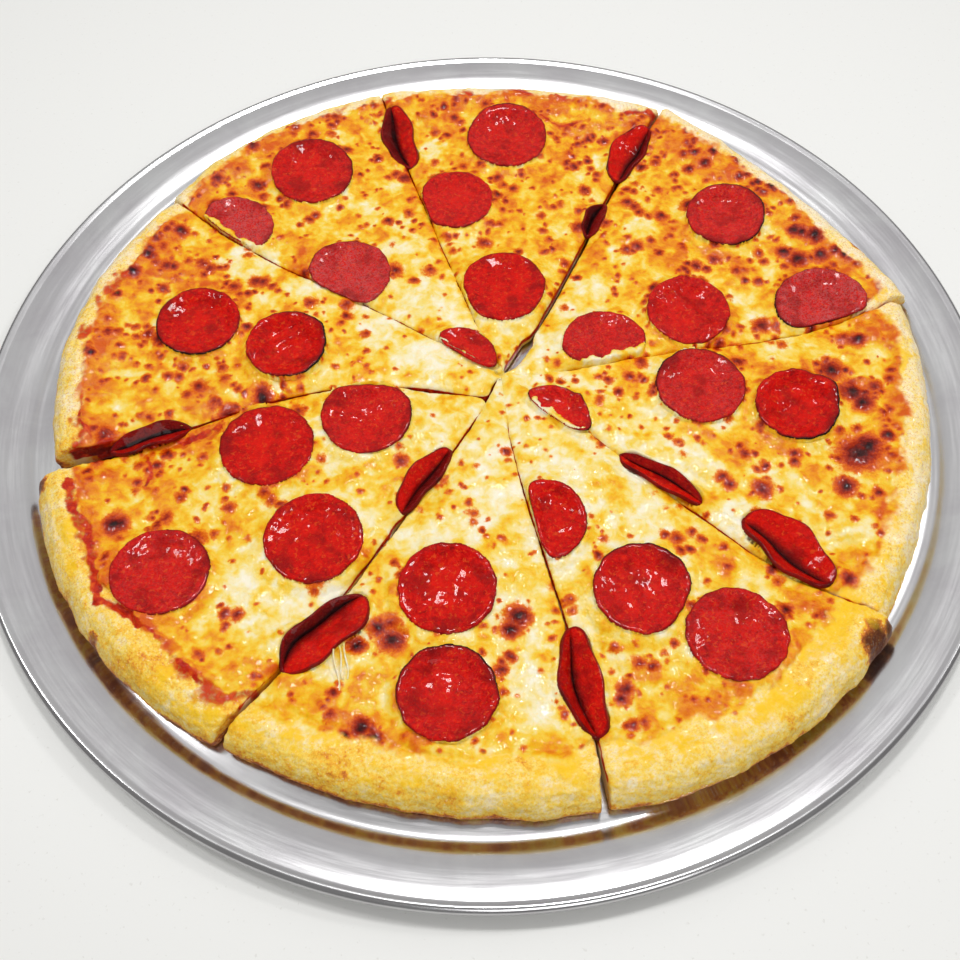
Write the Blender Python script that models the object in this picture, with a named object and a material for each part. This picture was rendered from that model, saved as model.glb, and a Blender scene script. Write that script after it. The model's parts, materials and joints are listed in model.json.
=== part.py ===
"""A pepperoni pizza cut into eight slices, lying in a round wide-rimmed aluminium pizza pan.

Each slice is a dough base with a raised crust and a cheese layer that runs to both cuts.
Pepperoni lies on the cheese, and some pieces are folded down into the cuts.
The driving dimensions are in millimetres, and the meshes are made in metres.
The origin is at the middle of the pan's underside and +Z is up.
"""
import math

import bmesh
import bpy
from mathutils import Vector, noise
from mathutils.bvhtree import BVHTree

MM = 0.001

# The gap that pieces lying on each other keep
CLEARANCE = 0.3

# The pan: a 16 inch wide-rimmed disc pressed from sheet, its edge rolled into a bead
PAN_RADIUS = 203.2
SHEET = 1.2
WELL_RADIUS = 180.8
PAN_SEGMENTS = 64
BEAD_RADIUS = 1.9
BEAD_DROP = 0.9
BEAD_ANGLES = (-150, -90, -40, 10, 60, 115)

# The pan's upper face from the well over the short step and up the wide rim
RIM_LINE = ((WELL_RADIUS, SHEET), (182.6, 2.0), (184.4, 3.4), (190.0, 5.6), (196.0, 7.2), (199.6, 7.9))

# How far the underside's corners lie outside the upper face's
SHEET_SHIFT = 0.45

# The cutter's strokes start round this point, a little off the middle of the pan
CUT_CENTRE = Vector((7.5, -0.8))
CUT_LENGTH = 185.0

# A cut meets the crust's edge somewhere between these distances, found by halving
REACH_LIMITS = (100.0, 220.0)
REACH_HALVINGS = 30

# Each cut: its direction in degrees, how far it starts to the side of the centre,
# how far its middle bows to that side, how far its inner half then sways to that side
# and its outer half back, and its gap at the tip and at the rim
CUTS = {
    "a": (236.5, 3.0, 2.5, -0.9, 1.0, 3.2),
    "b": (279.0, -2.6, 1.5, -2.0, 0.8, 2.6),
    "c": (320.25, -0.6, -5.6, 3.0, 0.8, 1.8),
    "d": (371.75, -7.0, -3.7, 4.0, 0.9, 1.0),
    "e": (422.0, -2.0, 1.7, -1.4, 2.6, 3.0),
    "f": (468.25, 1.8, 1.1, -0.3, 0.8, 1.6),
    "g": (506.0, 2.7, 0.9, -2.5, 0.8, 1.6),
    "h": (554.0, 15.9, -18.9, -4.9, 0.8, 8.0),
}

# Each slice: its two cuts, the outer radius at its first corner, middle and last corner,
# the width of bare crust, and how far the crust lifts at its first and last corner
SLICES = {
    1: ("a", "b", (175.5, 175.0, 177.0), 21.0, (0.0, 0.5)),
    2: ("b", "c", (177.0, 182.0, 181.5), 21.0, (0.0, 1.5)),
    3: ("c", "d", (178.0, 177.5, 182.0), 18.0, (0.0, 0.0)),
    4: ("d", "e", (184.5, 175.5, 183.5), 13.0, (2.0, 0.8)),
    5: ("e", "f", (181.0, 177.0, 180.0), 11.0, (0.4, 0.0)),
    6: ("f", "g", (180.0, 180.0, 176.0), 11.0, (0.0, 0.0)),
    7: ("g", "h", (174.5, 177.0, 172.5), 13.0, (0.0, 0.5)),
    8: ("h", "a", (179.5, 181.0, 177.0), 17.0, (0.0, 0.0)),
}

# The tips start this far along a slice's middle line and are this wide
TIP_START = 2.6
TIP_WIDTH = 1.6

# Stroke h meets stroke a beyond the centre, so two slices have tips of their own
SPECIAL_TIPS = {
    7: (Vector((4.2, -0.9)), Vector((0.8, -10.4))),
    8: (Vector((-1.8, -13.0)), Vector((-0.9, -14.4))),
}

# A side runs into its cut line over this length from the tip
TIP_BLEND = 25.0

# Height of the finished top over the table, by distance in from the crust's edge
TOP_PROFILE = ((0.0, 6.0), (2.5, 10.8), (6.0, 14.0), (11.0, 15.4), (17.0, 14.4),
               (24.0, 12.4), (32.0, 11.0), (60.0, 9.8), (110.0, 8.8), (190.0, 8.2))
CREST_DEPTH = 11.0
CREST_REACH = 18.0
CRUST_ROWS = (CREST_DEPTH, 6.0, 2.5, 0.0)
CRUST_ZONE = 34.0
CRUST_UNEVENNESS = 2.2
CRUST_UNEVEN_SIZE = 28.0
CORNER_LIFT_POWER = 6
CRUST_FOOT_INSET = 1.2
CRUST_FOOT_RADIUS = WELL_RADIUS - 1.6
CRUST_OVER_PAN = 2.0
DOUGH_BOTTOM = SHEET + CLEARANCE

CHEESE_THICKNESS = 2.6
CHEESE_EDGE_THICKNESS = 0.9
CHEESE_EDGE_WANDER = 8.0
CHEESE_EDGE_WAVES = 9.0
CHEESE_CREST_GAP = 2.5
CHEESE_LUMPS = 1.1
CHEESE_LUMP_SIZE = 15.0
CHEESE_TAPER = 0.8

# Where the noise for each kind of unevenness is read
LUMP_LEVEL = 40.0
EDGE_LEVEL = 0.7
SLICE_SHIFT = 5.0

# The cutter presses the edges of the slices down
CUT_DROOP = 1.3
CUT_DROOP_REACH = 4.0
CUT_DROOP_FADE = 10.0

# Where along a slice the rows of its grid lie, and where across
INNER_ROWS = (0.0, 0.09, 0.2, 0.33, 0.47, 0.61, 0.74, 0.87)
COLUMNS = (0.0, 0.06, 0.19, 0.35, 0.5, 0.65, 0.81, 0.94, 1.0)

# The rows turn from straight near the tip to arcs round the pan over this share
ROUND_FROM = 0.2
ROUND_OVER = 0.4

# Pepperoni
PEPPERONI_THICKNESS = 1.7
PEPPERONI_FOOTING = 3.5
FOOTING_SPOTS = 8
PEPPERONI_SIDES = 14
FOLD_DEPTH = 2.8
FOLD_MARGIN = 3.0

# Rings of a pepperoni slice: share of its radius, share of its thickness, and its cupping
PEPPERONI_RINGS = ((0.6, 1.0, 0.25), (0.93, 1.0, 0.9), (1.0, 0.5, 1.0), (0.95, 0.0, 0.85),
                   (0.55, 0.0, 0.0))

# Round slices of sausage: the middle of the circle, its radius, how far its rim cups up,
# and where neighbours, cuts or cheese end it: a direction in degrees and the distance kept
ROUND_PEPPERONI = {
    "01": (13, 136, 20.0, 1.2, ()),
    "02": (-12, 96.5, 18.3, 1.0, ((198, 14.5),)),
    "04": (-78, 114, 20.0, 1.4, ()),
    "05": (-111, 79.5, 18.5, 0.8, ((234, 4.0),)),
    "06": (-58.5, 53, 19.5, 0.8, ((239, 12.0),)),
    "07": (-119.5, 25.5, 18.3, 1.4, ()),
    "08": (-81.5, 12.5, 17.3, 2.4, ()),
    "09": (8.5, 44, 19.6, 1.0, ((198, 16.5), (332, 18.5))),
    "10": (-12.0, 4.6, 18.0, 0.8, ((234, -4.0),)),
    "13": (109, 81, 18.2, 1.6, ()),
    "14": (86, 28, 18.3, 1.8, ()),
    "15": (50.3, 10, 19.4, 0.9, ((282, 5.0),)),
    "16": (141.5, 27.5, 20.0, 1.0, ((282, 8.0),)),
    "17": (86, -11, 18.8, 1.6, ()),
    "18": (122, -22.5, 17.2, 2.2, ()),
    "19": (23.5, -27.0, 18.8, 0.9, ((229, -4.0),)),
    "21": (18.5, -70, 18.6, 1.0, ((189, 1.5),)),
    "23": (54, -99, 18.6, 1.4, ((329, 15.8),)),
    "24": (84, -117, 18.4, 1.0, ()),
    "26": (-15, -97, 18.8, 1.0, ()),
    "27": (-15, -136, 18.0, 1.4, ()),
    "30": (-64, -76, 19.3, 0.9, ()),
    "31": (-117, -90, 18.3, 0.9, ()),
    "32": (-85, -35.5, 19.4, 1.0, ()),
    "33": (-47, -21.5, 19.2, 1.2, ((85, 14.5),)),
}

# Slices of sausage folded into the cuts: middle, length, width and direction
FOLDED_PEPPERONI = {
    "03": (-38, 139, 40.0, 15.0, 108),
    "11": (70.5, 125, 37.0, 15.0, 62),
    "12": (51.5, 84.5, 22.0, 9.0, 62),
    "20": (66, -52, 37.0, 10.0, 320),
    "22": (108.5, -83.5, 39.0, 19.0, 318),
    "25": (31, -132, 41.0, 14.0, 100),
    "28": (-57.5, -113, 39.0, 18.0, 52),
    "29": (-24, -50.5, 34.0, 11.0, 60),
    "34": (-131, -31, 32.0, 11.0, 20),
}

# A height over everything, from which tops are measured
ABOVE_ALL = 100.0

# Colour, roughness and metallic value of each material
MATERIALS = {
    "aluminium": ((0.78, 0.78, 0.79, 1.0), 0.34, 1.0),
    "baked dough": ((0.80, 0.52, 0.20, 1.0), 0.60, 0.0),
    "melted cheese": ((0.92, 0.64, 0.22, 1.0), 0.35, 0.0),
    "pepperoni": ((0.45, 0.03, 0.02, 1.0), 0.30, 0.0),
}


def clear_scene():
    """Remove what a new file starts with."""
    for item in list(bpy.data.objects):
        bpy.data.objects.remove(item, do_unlink=True)


def direction(degrees):
    """The unit vector at an angle in the table's plane."""
    return Vector((math.cos(math.radians(degrees)), math.sin(math.radians(degrees))))


def smooth(value):
    """An S-shaped step from 0 to 1."""
    value = min(max(value, 0.0), 1.0)
    return value * value * (3.0 - 2.0 * value)


def along_table(table, value):
    """Read a table of (place, height) pairs, straight between them."""
    for (x0, y0), (x1, y1) in zip(table, table[1:]):
        if value <= x1:
            return y0 + (y1 - y0) * (max(value, x0) - x0) / (x1 - x0)
    return table[-1][1]


def make_material(name):
    """A plain Principled material from the table above."""
    colour, roughness, metallic = MATERIALS[name]
    material = bpy.data.materials.new(name)
    material.use_nodes = True
    shader = material.node_tree.nodes["Principled BSDF"]
    shader.inputs["Base Color"].default_value = colour
    shader.inputs["Roughness"].default_value = roughness
    shader.inputs["Metallic"].default_value = metallic
    material.diffuse_color = colour
    return material


def add_object(name, mesh, material, crease_degrees=50):
    """Put a mesh in the scene under its own name, shaded smooth between its creases."""
    mesh.materials.append(material)
    mesh.shade_smooth()
    mesh.set_sharp_from_angle(angle=math.radians(crease_degrees))
    item = bpy.data.objects.new(name, mesh)
    bpy.context.collection.objects.link(item)
    return item


def mesh_from(name, points, faces):
    """A mesh from points in millimetres."""
    mesh = bpy.data.meshes.new(name)
    mesh.from_pydata([point * MM for point in points], [], faces)
    mesh.update()
    return mesh


def pan_top(radius):
    """The height of the pan's upper face at a radius."""
    return along_table(RIM_LINE, radius)


def pan_profile():
    """The pan's section as (radius, height) pairs, from the underside's flat to the top's."""
    bead_middle = Vector((PAN_RADIUS - BEAD_RADIUS, RIM_LINE[-1][1] - BEAD_DROP))
    bead = [bead_middle + BEAD_RADIUS * direction(angle) for angle in BEAD_ANGLES]
    underside = [Vector((radius + SHEET_SHIFT, height - SHEET)) for radius, height in RIM_LINE[:-1]]
    top = [Vector(corner) for corner in reversed(RIM_LINE)]
    return underside + bead + top


def make_pan(material):
    """Turn the pan's section round the upright axis and close the two flat discs."""
    profile = pan_profile()
    points = []
    for step in range(PAN_SEGMENTS):
        turn = math.tau * step / PAN_SEGMENTS
        for radius, height in profile:
            points.append(Vector((radius * math.cos(turn), radius * math.sin(turn), height)))
    count = len(profile)
    faces = []
    for step in range(PAN_SEGMENTS):
        here = step * count
        there = ((step + 1) % PAN_SEGMENTS) * count
        for ring in range(count - 1):
            faces.append((here + ring, there + ring, there + ring + 1, here + ring + 1))
    faces.append([step * count for step in reversed(range(PAN_SEGMENTS))])
    faces.append([step * count + count - 1 for step in range(PAN_SEGMENTS)])
    return add_object("pan", mesh_from("pan", points, faces), material)


class CutSide:
    """One side of a slice: the edge that the cutter left, from the tip to the crust."""

    def __init__(self, cut, tip, inward, outer_radius):
        self.degrees, self.offset, self.bow, self.sway, self.tip_gap, self.rim_gap = CUTS[cut]
        self.ahead = direction(self.degrees)
        self.aside = direction(self.degrees + 90.0)
        self.tip = tip
        self.inward = inward
        self.start = (tip - CUT_CENTRE).dot(self.ahead)
        self.end = self.reach(outer_radius)

    def at(self, along):
        """The point on this side at a distance along the cut."""
        share = along / CUT_LENGTH
        offset = self.offset * (1.0 - share) + self.bow * math.sin(math.pi * share)
        offset += self.sway * math.sin(2.0 * math.pi * share)
        gap = self.tip_gap + (self.rim_gap - self.tip_gap) * share
        on_cut = CUT_CENTRE + self.ahead * along + self.aside * (offset + self.inward * gap / 2)
        return self.tip.lerp(on_cut, smooth((along - self.start) / TIP_BLEND))

    def reach(self, radius):
        """How far along the cut this side meets a circle round the pan's middle."""
        low, high = REACH_LIMITS
        for _ in range(REACH_HALVINGS):
            middle = (low + high) / 2
            if self.at(middle).length < radius:
                low = middle
            else:
                high = middle
        return low


class Slice:
    """The plan and the heights of one slice."""

    def __init__(self, number):
        first, last, self.radii, self.bare_width, self.lifts = SLICES[number]
        self.number = number
        self.middle = (CUTS[first][0] + CUTS[last][0]) / 2
        if CUTS[last][0] < CUTS[first][0]:
            self.middle += 180.0
        tips = SPECIAL_TIPS.get(number, self.plain_tips())
        self.first = CutSide(first, tips[0], 1.0, self.radii[0])
        self.last = CutSide(last, tips[1], -1.0, self.radii[2])

    def plain_tips(self):
        """The two corners of a tip near the cut centre."""
        tip = CUT_CENTRE + TIP_START * direction(self.middle)
        aside = direction(self.middle + 90.0) * TIP_WIDTH / 2
        return tip - aside, tip + aside

    def outer_radius(self, across):
        """The crust's radius across the slice, a parabola through its three radii."""
        first, middle, last = self.radii
        bulge = middle - (first + last) / 2
        return first + (last - first) * across + bulge * 4.0 * across * (1.0 - across)

    def cheese_edge(self, across):
        """How far in from the crust's edge the cheese ends."""
        turn = CHEESE_EDGE_WAVES * across + SLICE_SHIFT * self.number
        wander = noise.noise(Vector((turn, EDGE_LEVEL, self.number)))
        return self.bare_width + CHEESE_EDGE_WANDER * wander

    def rows(self):
        """The grid's rows as (share of the inner length, distance in from the edge)."""
        inner = [(share, None) for share in INNER_ROWS]
        return inner + [(1.0, CRUST_ZONE), (1.0, "cheese")] + [(1.0, d) for d in CRUST_ROWS]

    def depth(self, row, across):
        """A row's distance in from the crust's edge."""
        share, inset = row
        if inset == "cheese":
            return max(self.cheese_edge(across), CREST_DEPTH + CHEESE_CREST_GAP)
        if inset is None:
            length = self.outer_radius(across) - CRUST_ZONE
            return CRUST_ZONE + (1.0 - share) * length
        return inset

    def plan(self, row, across):
        """The place of a grid point on the table."""
        share, inset = row
        ends = []
        for side, edge in ((self.first, 0.0), (self.last, 1.0)):
            if inset is None:
                along = side.start + share * (side.end - CRUST_ZONE - side.start)
            else:
                along = side.end - self.depth(row, edge)
            ends.append(side.at(along))
        first, last = ends
        bend = (first - last).length / 2
        sagitta = max(first.length, last.length)
        sagitta -= math.sqrt(max(sagitta ** 2 - bend ** 2, 0.0))
        straight = first.lerp(last, across)
        straight += direction(self.middle) * sagitta * 4.0 * across * (1.0 - across)
        turned = math.atan2(first.cross(last), first.dot(last))
        angle = math.atan2(first.y, first.x) + turned * across
        radius = first.length + (last.length - first.length) * across
        bulge = self.radii[1] - (self.radii[0] + self.radii[2]) / 2
        radius += share * bulge * 4.0 * across * (1.0 - across)
        if inset is not None:
            ends_depth = self.depth(row, 0.0) * (1.0 - across) + self.depth(row, 1.0) * across
            radius += ends_depth - self.depth(row, across)
        round_point = Vector((math.cos(angle), math.sin(angle))) * radius
        return straight.lerp(round_point, smooth((share - ROUND_FROM) / ROUND_OVER))

    def top(self, row, across, place):
        """The finished height of the slice at a grid point."""
        depth = self.depth(row, across)
        height = along_table(TOP_PROFILE, depth)
        on_crust = max(0.0, 1.0 - abs(depth - CREST_DEPTH) / CREST_REACH)
        bump = noise.noise(Vector((place.x, place.y, 0.0)) / CRUST_UNEVEN_SIZE)
        height += CRUST_UNEVENNESS * on_crust * bump
        lift = self.lifts[0] * (1.0 - across) ** CORNER_LIFT_POWER
        lift += self.lifts[1] * across ** CORNER_LIFT_POWER
        height += lift * on_crust
        first = self.plan(row, 0.0)
        last = self.plan(row, 1.0)
        to_cut = min((place - first).length, (place - last).length)
        droop = CUT_DROOP * math.exp(-to_cut / CUT_DROOP_REACH)
        height -= droop * min(1.0, depth / CUT_DROOP_FADE)
        height -= pressed(place)
        return max(height, pan_top(place.length) + CRUST_OVER_PAN)

    def cheese_thickness(self, row_index, cheese_row):
        """The cheese thins out towards its edge on the crust."""
        if row_index == cheese_row:
            return CHEESE_EDGE_THICKNESS
        if row_index == cheese_row - 1:
            return CHEESE_THICKNESS * CHEESE_TAPER
        return CHEESE_THICKNESS


def pressed(place):
    """How far a folded piece has pushed the cheese and dough down under it."""
    depth = 0.0
    for x, y, length, width, degrees in FOLDED_PEPPERONI.values():
        away = place - Vector((x, y))
        ahead = away.dot(direction(degrees)) / (length / 2 + FOLD_MARGIN)
        aside = away.dot(direction(degrees + 90.0)) / (width / 2 + FOLD_MARGIN)
        depth = max(depth, FOLD_DEPTH * (1.0 - ahead ** 2 - aside ** 2))
    return depth


def grid_faces(rows, columns, flip):
    """Two triangles for each cell of a grid, the same way on every sheet."""
    faces = []
    for row in range(rows - 1):
        for column in range(columns - 1):
            a = row * columns + column
            b = a + 1
            c = a + columns + 1
            d = a + columns
            for face in ((a, c, b), (a, d, c)):
                faces.append(tuple(reversed(face)) if flip else face)
    return faces


def rim_loop(rows, columns):
    """The indices round the outside of a grid, tip first."""
    tip = list(range(columns))
    last_side = [row * columns + columns - 1 for row in range(1, rows)]
    crust = [(rows - 1) * columns + column for column in reversed(range(columns - 1))]
    first_side = [row * columns for row in reversed(range(1, rows - 1))]
    return tip + last_side + crust + first_side


def slice_heights(piece):
    """The plan, the finished top and the cheese's lumps at every grid point of a slice."""
    rows = piece.rows()
    cheese_row = len(INNER_ROWS) + 1
    plan, tops, dough_tops = [], [], []
    for index, row in enumerate(rows):
        for across in COLUMNS:
            place = piece.plan(row, across)
            height = piece.top(row, across, place)
            plan.append(place)
            if index <= cheese_row:
                thickness = piece.cheese_thickness(index, cheese_row)
                lumps = noise.noise(Vector((place.x, place.y, LUMP_LEVEL)) / CHEESE_LUMP_SIZE)
                share = thickness / CHEESE_THICKNESS
                tops.append(height + CHEESE_LUMPS * share * lumps)
                dough_tops.append(height - thickness - CLEARANCE)
            else:
                tops.append(height)
                dough_tops.append(height)
    return rows, cheese_row, plan, tops, dough_tops


def make_dough(piece, heights, material):
    """The slice's base and crust, flat underneath with a rounded foot at the crust."""
    rows, _, plan, _, dough_tops = heights
    columns = len(COLUMNS)
    points = [Vector((p.x, p.y, z)) for p, z in zip(plan, dough_tops)]
    faces = grid_faces(len(rows), columns, flip=True)
    loop = rim_loop(len(rows), columns)
    crust_row = (len(rows) - 1) * columns
    foot = len(points)
    for index in loop:
        place = plan[index].copy()
        if index >= crust_row:
            place.length = min(place.length - CRUST_FOOT_INSET, CRUST_FOOT_RADIUS)
        points.append(Vector((place.x, place.y, DOUGH_BOTTOM)))
    count = len(loop)
    for step in range(count):
        after = (step + 1) % count
        faces.append((loop[step], loop[after], foot + after, foot + step))
    faces.append([foot + step for step in range(count)])
    name = f"dough_{piece.number}"
    mesh = mesh_from(name, points, faces)
    face_outwards(mesh)
    return add_object(name, mesh, material)


def make_cheese(piece, heights, material):
    """The cheese over the dough, running out to both cuts and thinning on to the crust."""
    _, cheese_row, plan, tops, dough_tops = heights
    columns = len(COLUMNS)
    rows = cheese_row + 1
    count = rows * columns
    points = [Vector((plan[i].x, plan[i].y, tops[i])) for i in range(count)]
    points += [Vector((plan[i].x, plan[i].y, dough_tops[i] + CLEARANCE)) for i in range(count)]
    faces = grid_faces(rows, columns, flip=True)
    for face in grid_faces(rows, columns, flip=False):
        faces.append(tuple(index + count for index in face))
    loop = rim_loop(rows, columns)
    for here, after in zip(loop, loop[1:] + loop[:1]):
        faces.append((here, after, after + count, here + count))
    name = f"cheese_{piece.number}"
    mesh = mesh_from(name, points, faces)
    face_outwards(mesh)
    return add_object(name, mesh, material)


def face_outwards(mesh):
    """Turn every face of a closed mesh outwards."""
    shape = bmesh.new()
    shape.from_mesh(mesh)
    bmesh.ops.recalc_face_normals(shape, faces=shape.faces)
    shape.to_mesh(mesh)
    shape.free()


class Surface:
    """The finished tops of all slices, for what lies on them."""

    def __init__(self, items):
        points, faces = [], []
        for item in items:
            start = len(points)
            points += [vertex.co.copy() for vertex in item.data.vertices]
            faces += [[start + i for i in face.vertices] for face in item.data.polygons]
        self.tree = BVHTree.FromPolygons(points, faces)

    def height(self, place):
        """The top at a place, in millimetres, or None over a gap."""
        start = Vector((place.x, place.y, ABOVE_ALL)) * MM
        hit = self.tree.ray_cast(start, Vector((0.0, 0.0, -1.0)))[0]
        return None if hit is None else hit.z / MM

    def clear_height(self, place, reach):
        """The highest top within reach of a place."""
        turns = [360.0 * step / FOOTING_SPOTS for step in range(FOOTING_SPOTS)]
        spots = [place] + [place + direction(turn) * reach for turn in turns]
        found = [self.height(spot) for spot in spots]
        return max(value for value in found if value is not None)


def piece_radius(degrees, radius, start, limits, middle):
    """The distance from a piece's middle to its edge, a circle cut off by straight limits."""
    ray = direction(degrees)
    away = start - middle
    along = away.dot(ray)
    reach = -along + math.sqrt(max(along ** 2 - away.length_squared + radius ** 2, 0.0))
    for limit_degrees, keep in limits:
        outward = direction(limit_degrees)
        closing = ray.dot(outward)
        if closing > 1e-6:
            reach = min(reach, (keep - away.dot(outward)) / closing)
    return reach


def make_pepperoni(name, start, edge, lift, surface, material):
    """A thin slice of sausage that follows what it lies on, its rim cupping up."""
    rings = []
    for share, level, cupping in PEPPERONI_RINGS:
        ring = []
        for side in range(PEPPERONI_SIDES):
            degrees = 360.0 * side / PEPPERONI_SIDES
            place = start + direction(degrees) * edge(degrees) * share
            ring.append((place, level, cupping * lift))
        rings.append(ring)
    top_middle = (start, 1.0, 0.0)
    bottom_middle = (start, 0.0, 0.0)
    points = []
    for place, level, raised in [top_middle] + sum(rings, []) + [bottom_middle]:
        height = surface.clear_height(place, PEPPERONI_FOOTING) + CLEARANCE + raised
        points.append(Vector((place.x, place.y, height + level * PEPPERONI_THICKNESS)))
    faces = []
    last = len(points) - 1
    for side in range(PEPPERONI_SIDES):
        after = (side + 1) % PEPPERONI_SIDES
        faces.append((0, 1 + side, 1 + after))
        for ring in range(len(PEPPERONI_RINGS) - 1):
            upper = 1 + ring * PEPPERONI_SIDES
            lower = upper + PEPPERONI_SIDES
            faces.append((upper + side, lower + side, lower + after))
            faces.append((upper + side, lower + after, upper + after))
        lower = 1 + (len(PEPPERONI_RINGS) - 1) * PEPPERONI_SIDES
        faces.append((last, lower + after, lower + side))
    mesh = mesh_from(name, points, faces)
    face_outwards(mesh)
    return add_object(name, mesh, material)


def make_round_pepperoni(number, surface, material):
    """A round slice of sausage, whole or ended by a cut, a neighbour or the cheese."""
    x, y, radius, lift, limits = ROUND_PEPPERONI[number]
    circle = Vector((x, y))
    start = circle.copy()
    for limit_degrees, keep in limits:
        start += direction(limit_degrees) * (keep - radius) / 2

    def edge(degrees):
        return piece_radius(degrees, radius, start, limits, circle)

    return make_pepperoni(f"pepperoni_{number}", start, edge, lift, surface, material)


def make_folded_pepperoni(number, surface, material):
    """A slice of sausage that the cutter folded into a cut, a long oval in plan."""
    x, y, length, width, turned = FOLDED_PEPPERONI[number]

    def edge(degrees):
        ray = direction(degrees - turned)
        return 1.0 / math.hypot(ray.x / (length / 2), ray.y / (width / 2))

    return make_pepperoni(f"pepperoni_{number}", Vector((x, y)), edge, 0.0, surface, material)


def main():
    clear_scene()
    materials = {name: make_material(name) for name in MATERIALS}
    make_pan(materials["aluminium"])
    layers = []
    for number in SLICES:
        piece = Slice(number)
        heights = slice_heights(piece)
        layers.append(make_dough(piece, heights, materials["baked dough"]))
        layers.append(make_cheese(piece, heights, materials["melted cheese"]))
    surface = Surface(layers)
    for number in ROUND_PEPPERONI:
        make_round_pepperoni(number, surface, materials["pepperoni"])
    for number in FOLDED_PEPPERONI:
        make_folded_pepperoni(number, surface, materials["pepperoni"])


main()
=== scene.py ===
"""Looks for the pepperoni pizza on its pan: baked crust, melted cheese, oily sausage and brushed metal.

Sizes are in millimetres by name and turned into metres where a mesh is made.
"""
import json
import math

import bpy
import numpy as np
from mathutils import Matrix, Vector, kdtree
from mathutils.bvhtree import BVHTree

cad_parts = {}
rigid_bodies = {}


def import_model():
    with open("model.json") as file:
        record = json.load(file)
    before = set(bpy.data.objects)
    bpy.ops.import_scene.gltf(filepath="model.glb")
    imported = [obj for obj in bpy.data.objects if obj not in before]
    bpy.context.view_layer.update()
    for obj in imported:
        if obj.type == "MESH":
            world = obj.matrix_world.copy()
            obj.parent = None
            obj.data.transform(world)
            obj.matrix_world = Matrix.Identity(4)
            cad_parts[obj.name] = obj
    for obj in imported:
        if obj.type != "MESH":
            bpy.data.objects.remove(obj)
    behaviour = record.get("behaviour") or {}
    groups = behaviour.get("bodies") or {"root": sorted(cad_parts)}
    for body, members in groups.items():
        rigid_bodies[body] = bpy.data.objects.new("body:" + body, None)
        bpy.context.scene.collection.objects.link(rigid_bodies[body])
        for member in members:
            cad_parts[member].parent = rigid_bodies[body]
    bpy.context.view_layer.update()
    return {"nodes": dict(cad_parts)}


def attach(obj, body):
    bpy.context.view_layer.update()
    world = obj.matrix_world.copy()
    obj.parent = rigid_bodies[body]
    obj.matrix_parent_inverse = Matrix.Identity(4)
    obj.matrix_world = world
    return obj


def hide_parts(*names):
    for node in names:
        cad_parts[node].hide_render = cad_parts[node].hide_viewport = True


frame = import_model()

MM = 0.001

# Points closer than this, in metres, become one
MERGE_GAP = 0.00001

# The pan, as in the solids
SHEET = 1.2
PAN_RADIUS = 203.15
BEAD_RADIUS = 1.9
BEAD_DROP = 0.9
BEAD_FROM = -150.0
BEAD_TO = 115.0
BEAD_STEPS = 12
SHEET_SHIFT = 0.45
RIM_LINE = ((180.8, 1.2), (182.6, 2.0), (184.4, 3.4), (190.0, 5.6), (196.0, 7.2), (199.6, 7.9))
RIM_STEPS = 40
RIM_EASING = 1.3
RIM_EASING_STEPS = 9
PAN_TURNS = 288
FLOOR_RINGS = (0.0, 60.0, 110.0, 150.0, 172.0, 178.5)

# The pizza's radius, and its finished height over the table by distance in from the crust's edge
PIZZA_RADIUS = 178.0
TOP_PROFILE = ((0.0, 6.0), (2.5, 10.8), (6.0, 14.0), (11.0, 15.4), (17.0, 14.4),
               (24.0, 12.4), (32.0, 11.0), (60.0, 9.8), (110.0, 8.8), (190.0, 8.2))

# Slices: the width of bare crust, and how much sauce shows between crust and cheese
BARE_CRUST = {1: 17.0, 2: 18.0, 3: 12.5, 4: 11.5, 5: 11.0, 6: 11.0, 7: 12.5, 8: 15.0}
SAUCE_SHOWS = {1: 0.1, 2: 0.1, 3: 0.2, 4: 0.25, 5: 0.6, 6: 0.35, 7: 0.5, 8: 0.5}

# A slice's mesh: how coarse it is at first, and how often it is refined
SLICE_VOXEL = 0.97
SLICE_DETAIL = 1

# How far the cheese reaches down into the dough, and how low sausage may press it
CHEESE_SINK = 0.9
LOWEST_CHEESE = 1.7

# The height that nothing passes, and the room in which heights are eased down to it
TOP_LIMIT = 17.5
TOP_EASING = 1.2

# How far the cheese and crust close over the cuts, and the places where a cut stays open
CUT_CLOSING = 0.85
OPEN_CUTS = ((13.5, 10.5, 13, 3.4), (-37, -68, 6, 0.9), (-93, -155, 14, 0.8), (-165, -45, 15, 1.0),
             (34, -172, 12, 0.5))

# The slices beside the wide cut, and on which of their sides it lies
WIDE_CUT_SIDES = {7: 1.0, 8: -1.0}

# The slice whose thick cut side shows in the wide cut, and how much deeper its sauce line is
DARK_CUT_SLICE = 7
DARK_CUT_DEEPER = 4.5

# Where the cuts meet
CUT_CENTRE = (7.5, -0.8)

# Past this radius a point belongs to the crust's edge, which is read in this many steps
CRUST_ZONE = 150.0
EDGE_BINS = 64

# Below this height a face that looks down belongs to the flat underside
UNDERSIDE_ZONE = 2.7

# Within this distance of a cut a point moves with it
CUT_ZONE = 4.0

# Plan area in square millimetres for each blister and for each faint spot
BLISTER_AREA = 112.0
FAINT_SPOT_AREA = 42.0

# How well the pizza is baked in each direction from its middle, in degrees
BAKED = ((0, 0.85), (30, 1.0), (60, 1.0), (90, 0.95), (120, 0.85), (150, 0.95), (180, 1.0),
         (210, 0.7), (240, 0.4), (270, 0.3), (300, 0.35), (330, 0.6), (360, 0.85))

# How much more golden the crust is in each direction
TOASTED = ((0, 0.0), (120, 0.04), (150, 0.12), (185, 0.17), (230, 0.14), (255, 0.04), (280, 0.0),
           (360, 0.0))

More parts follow.
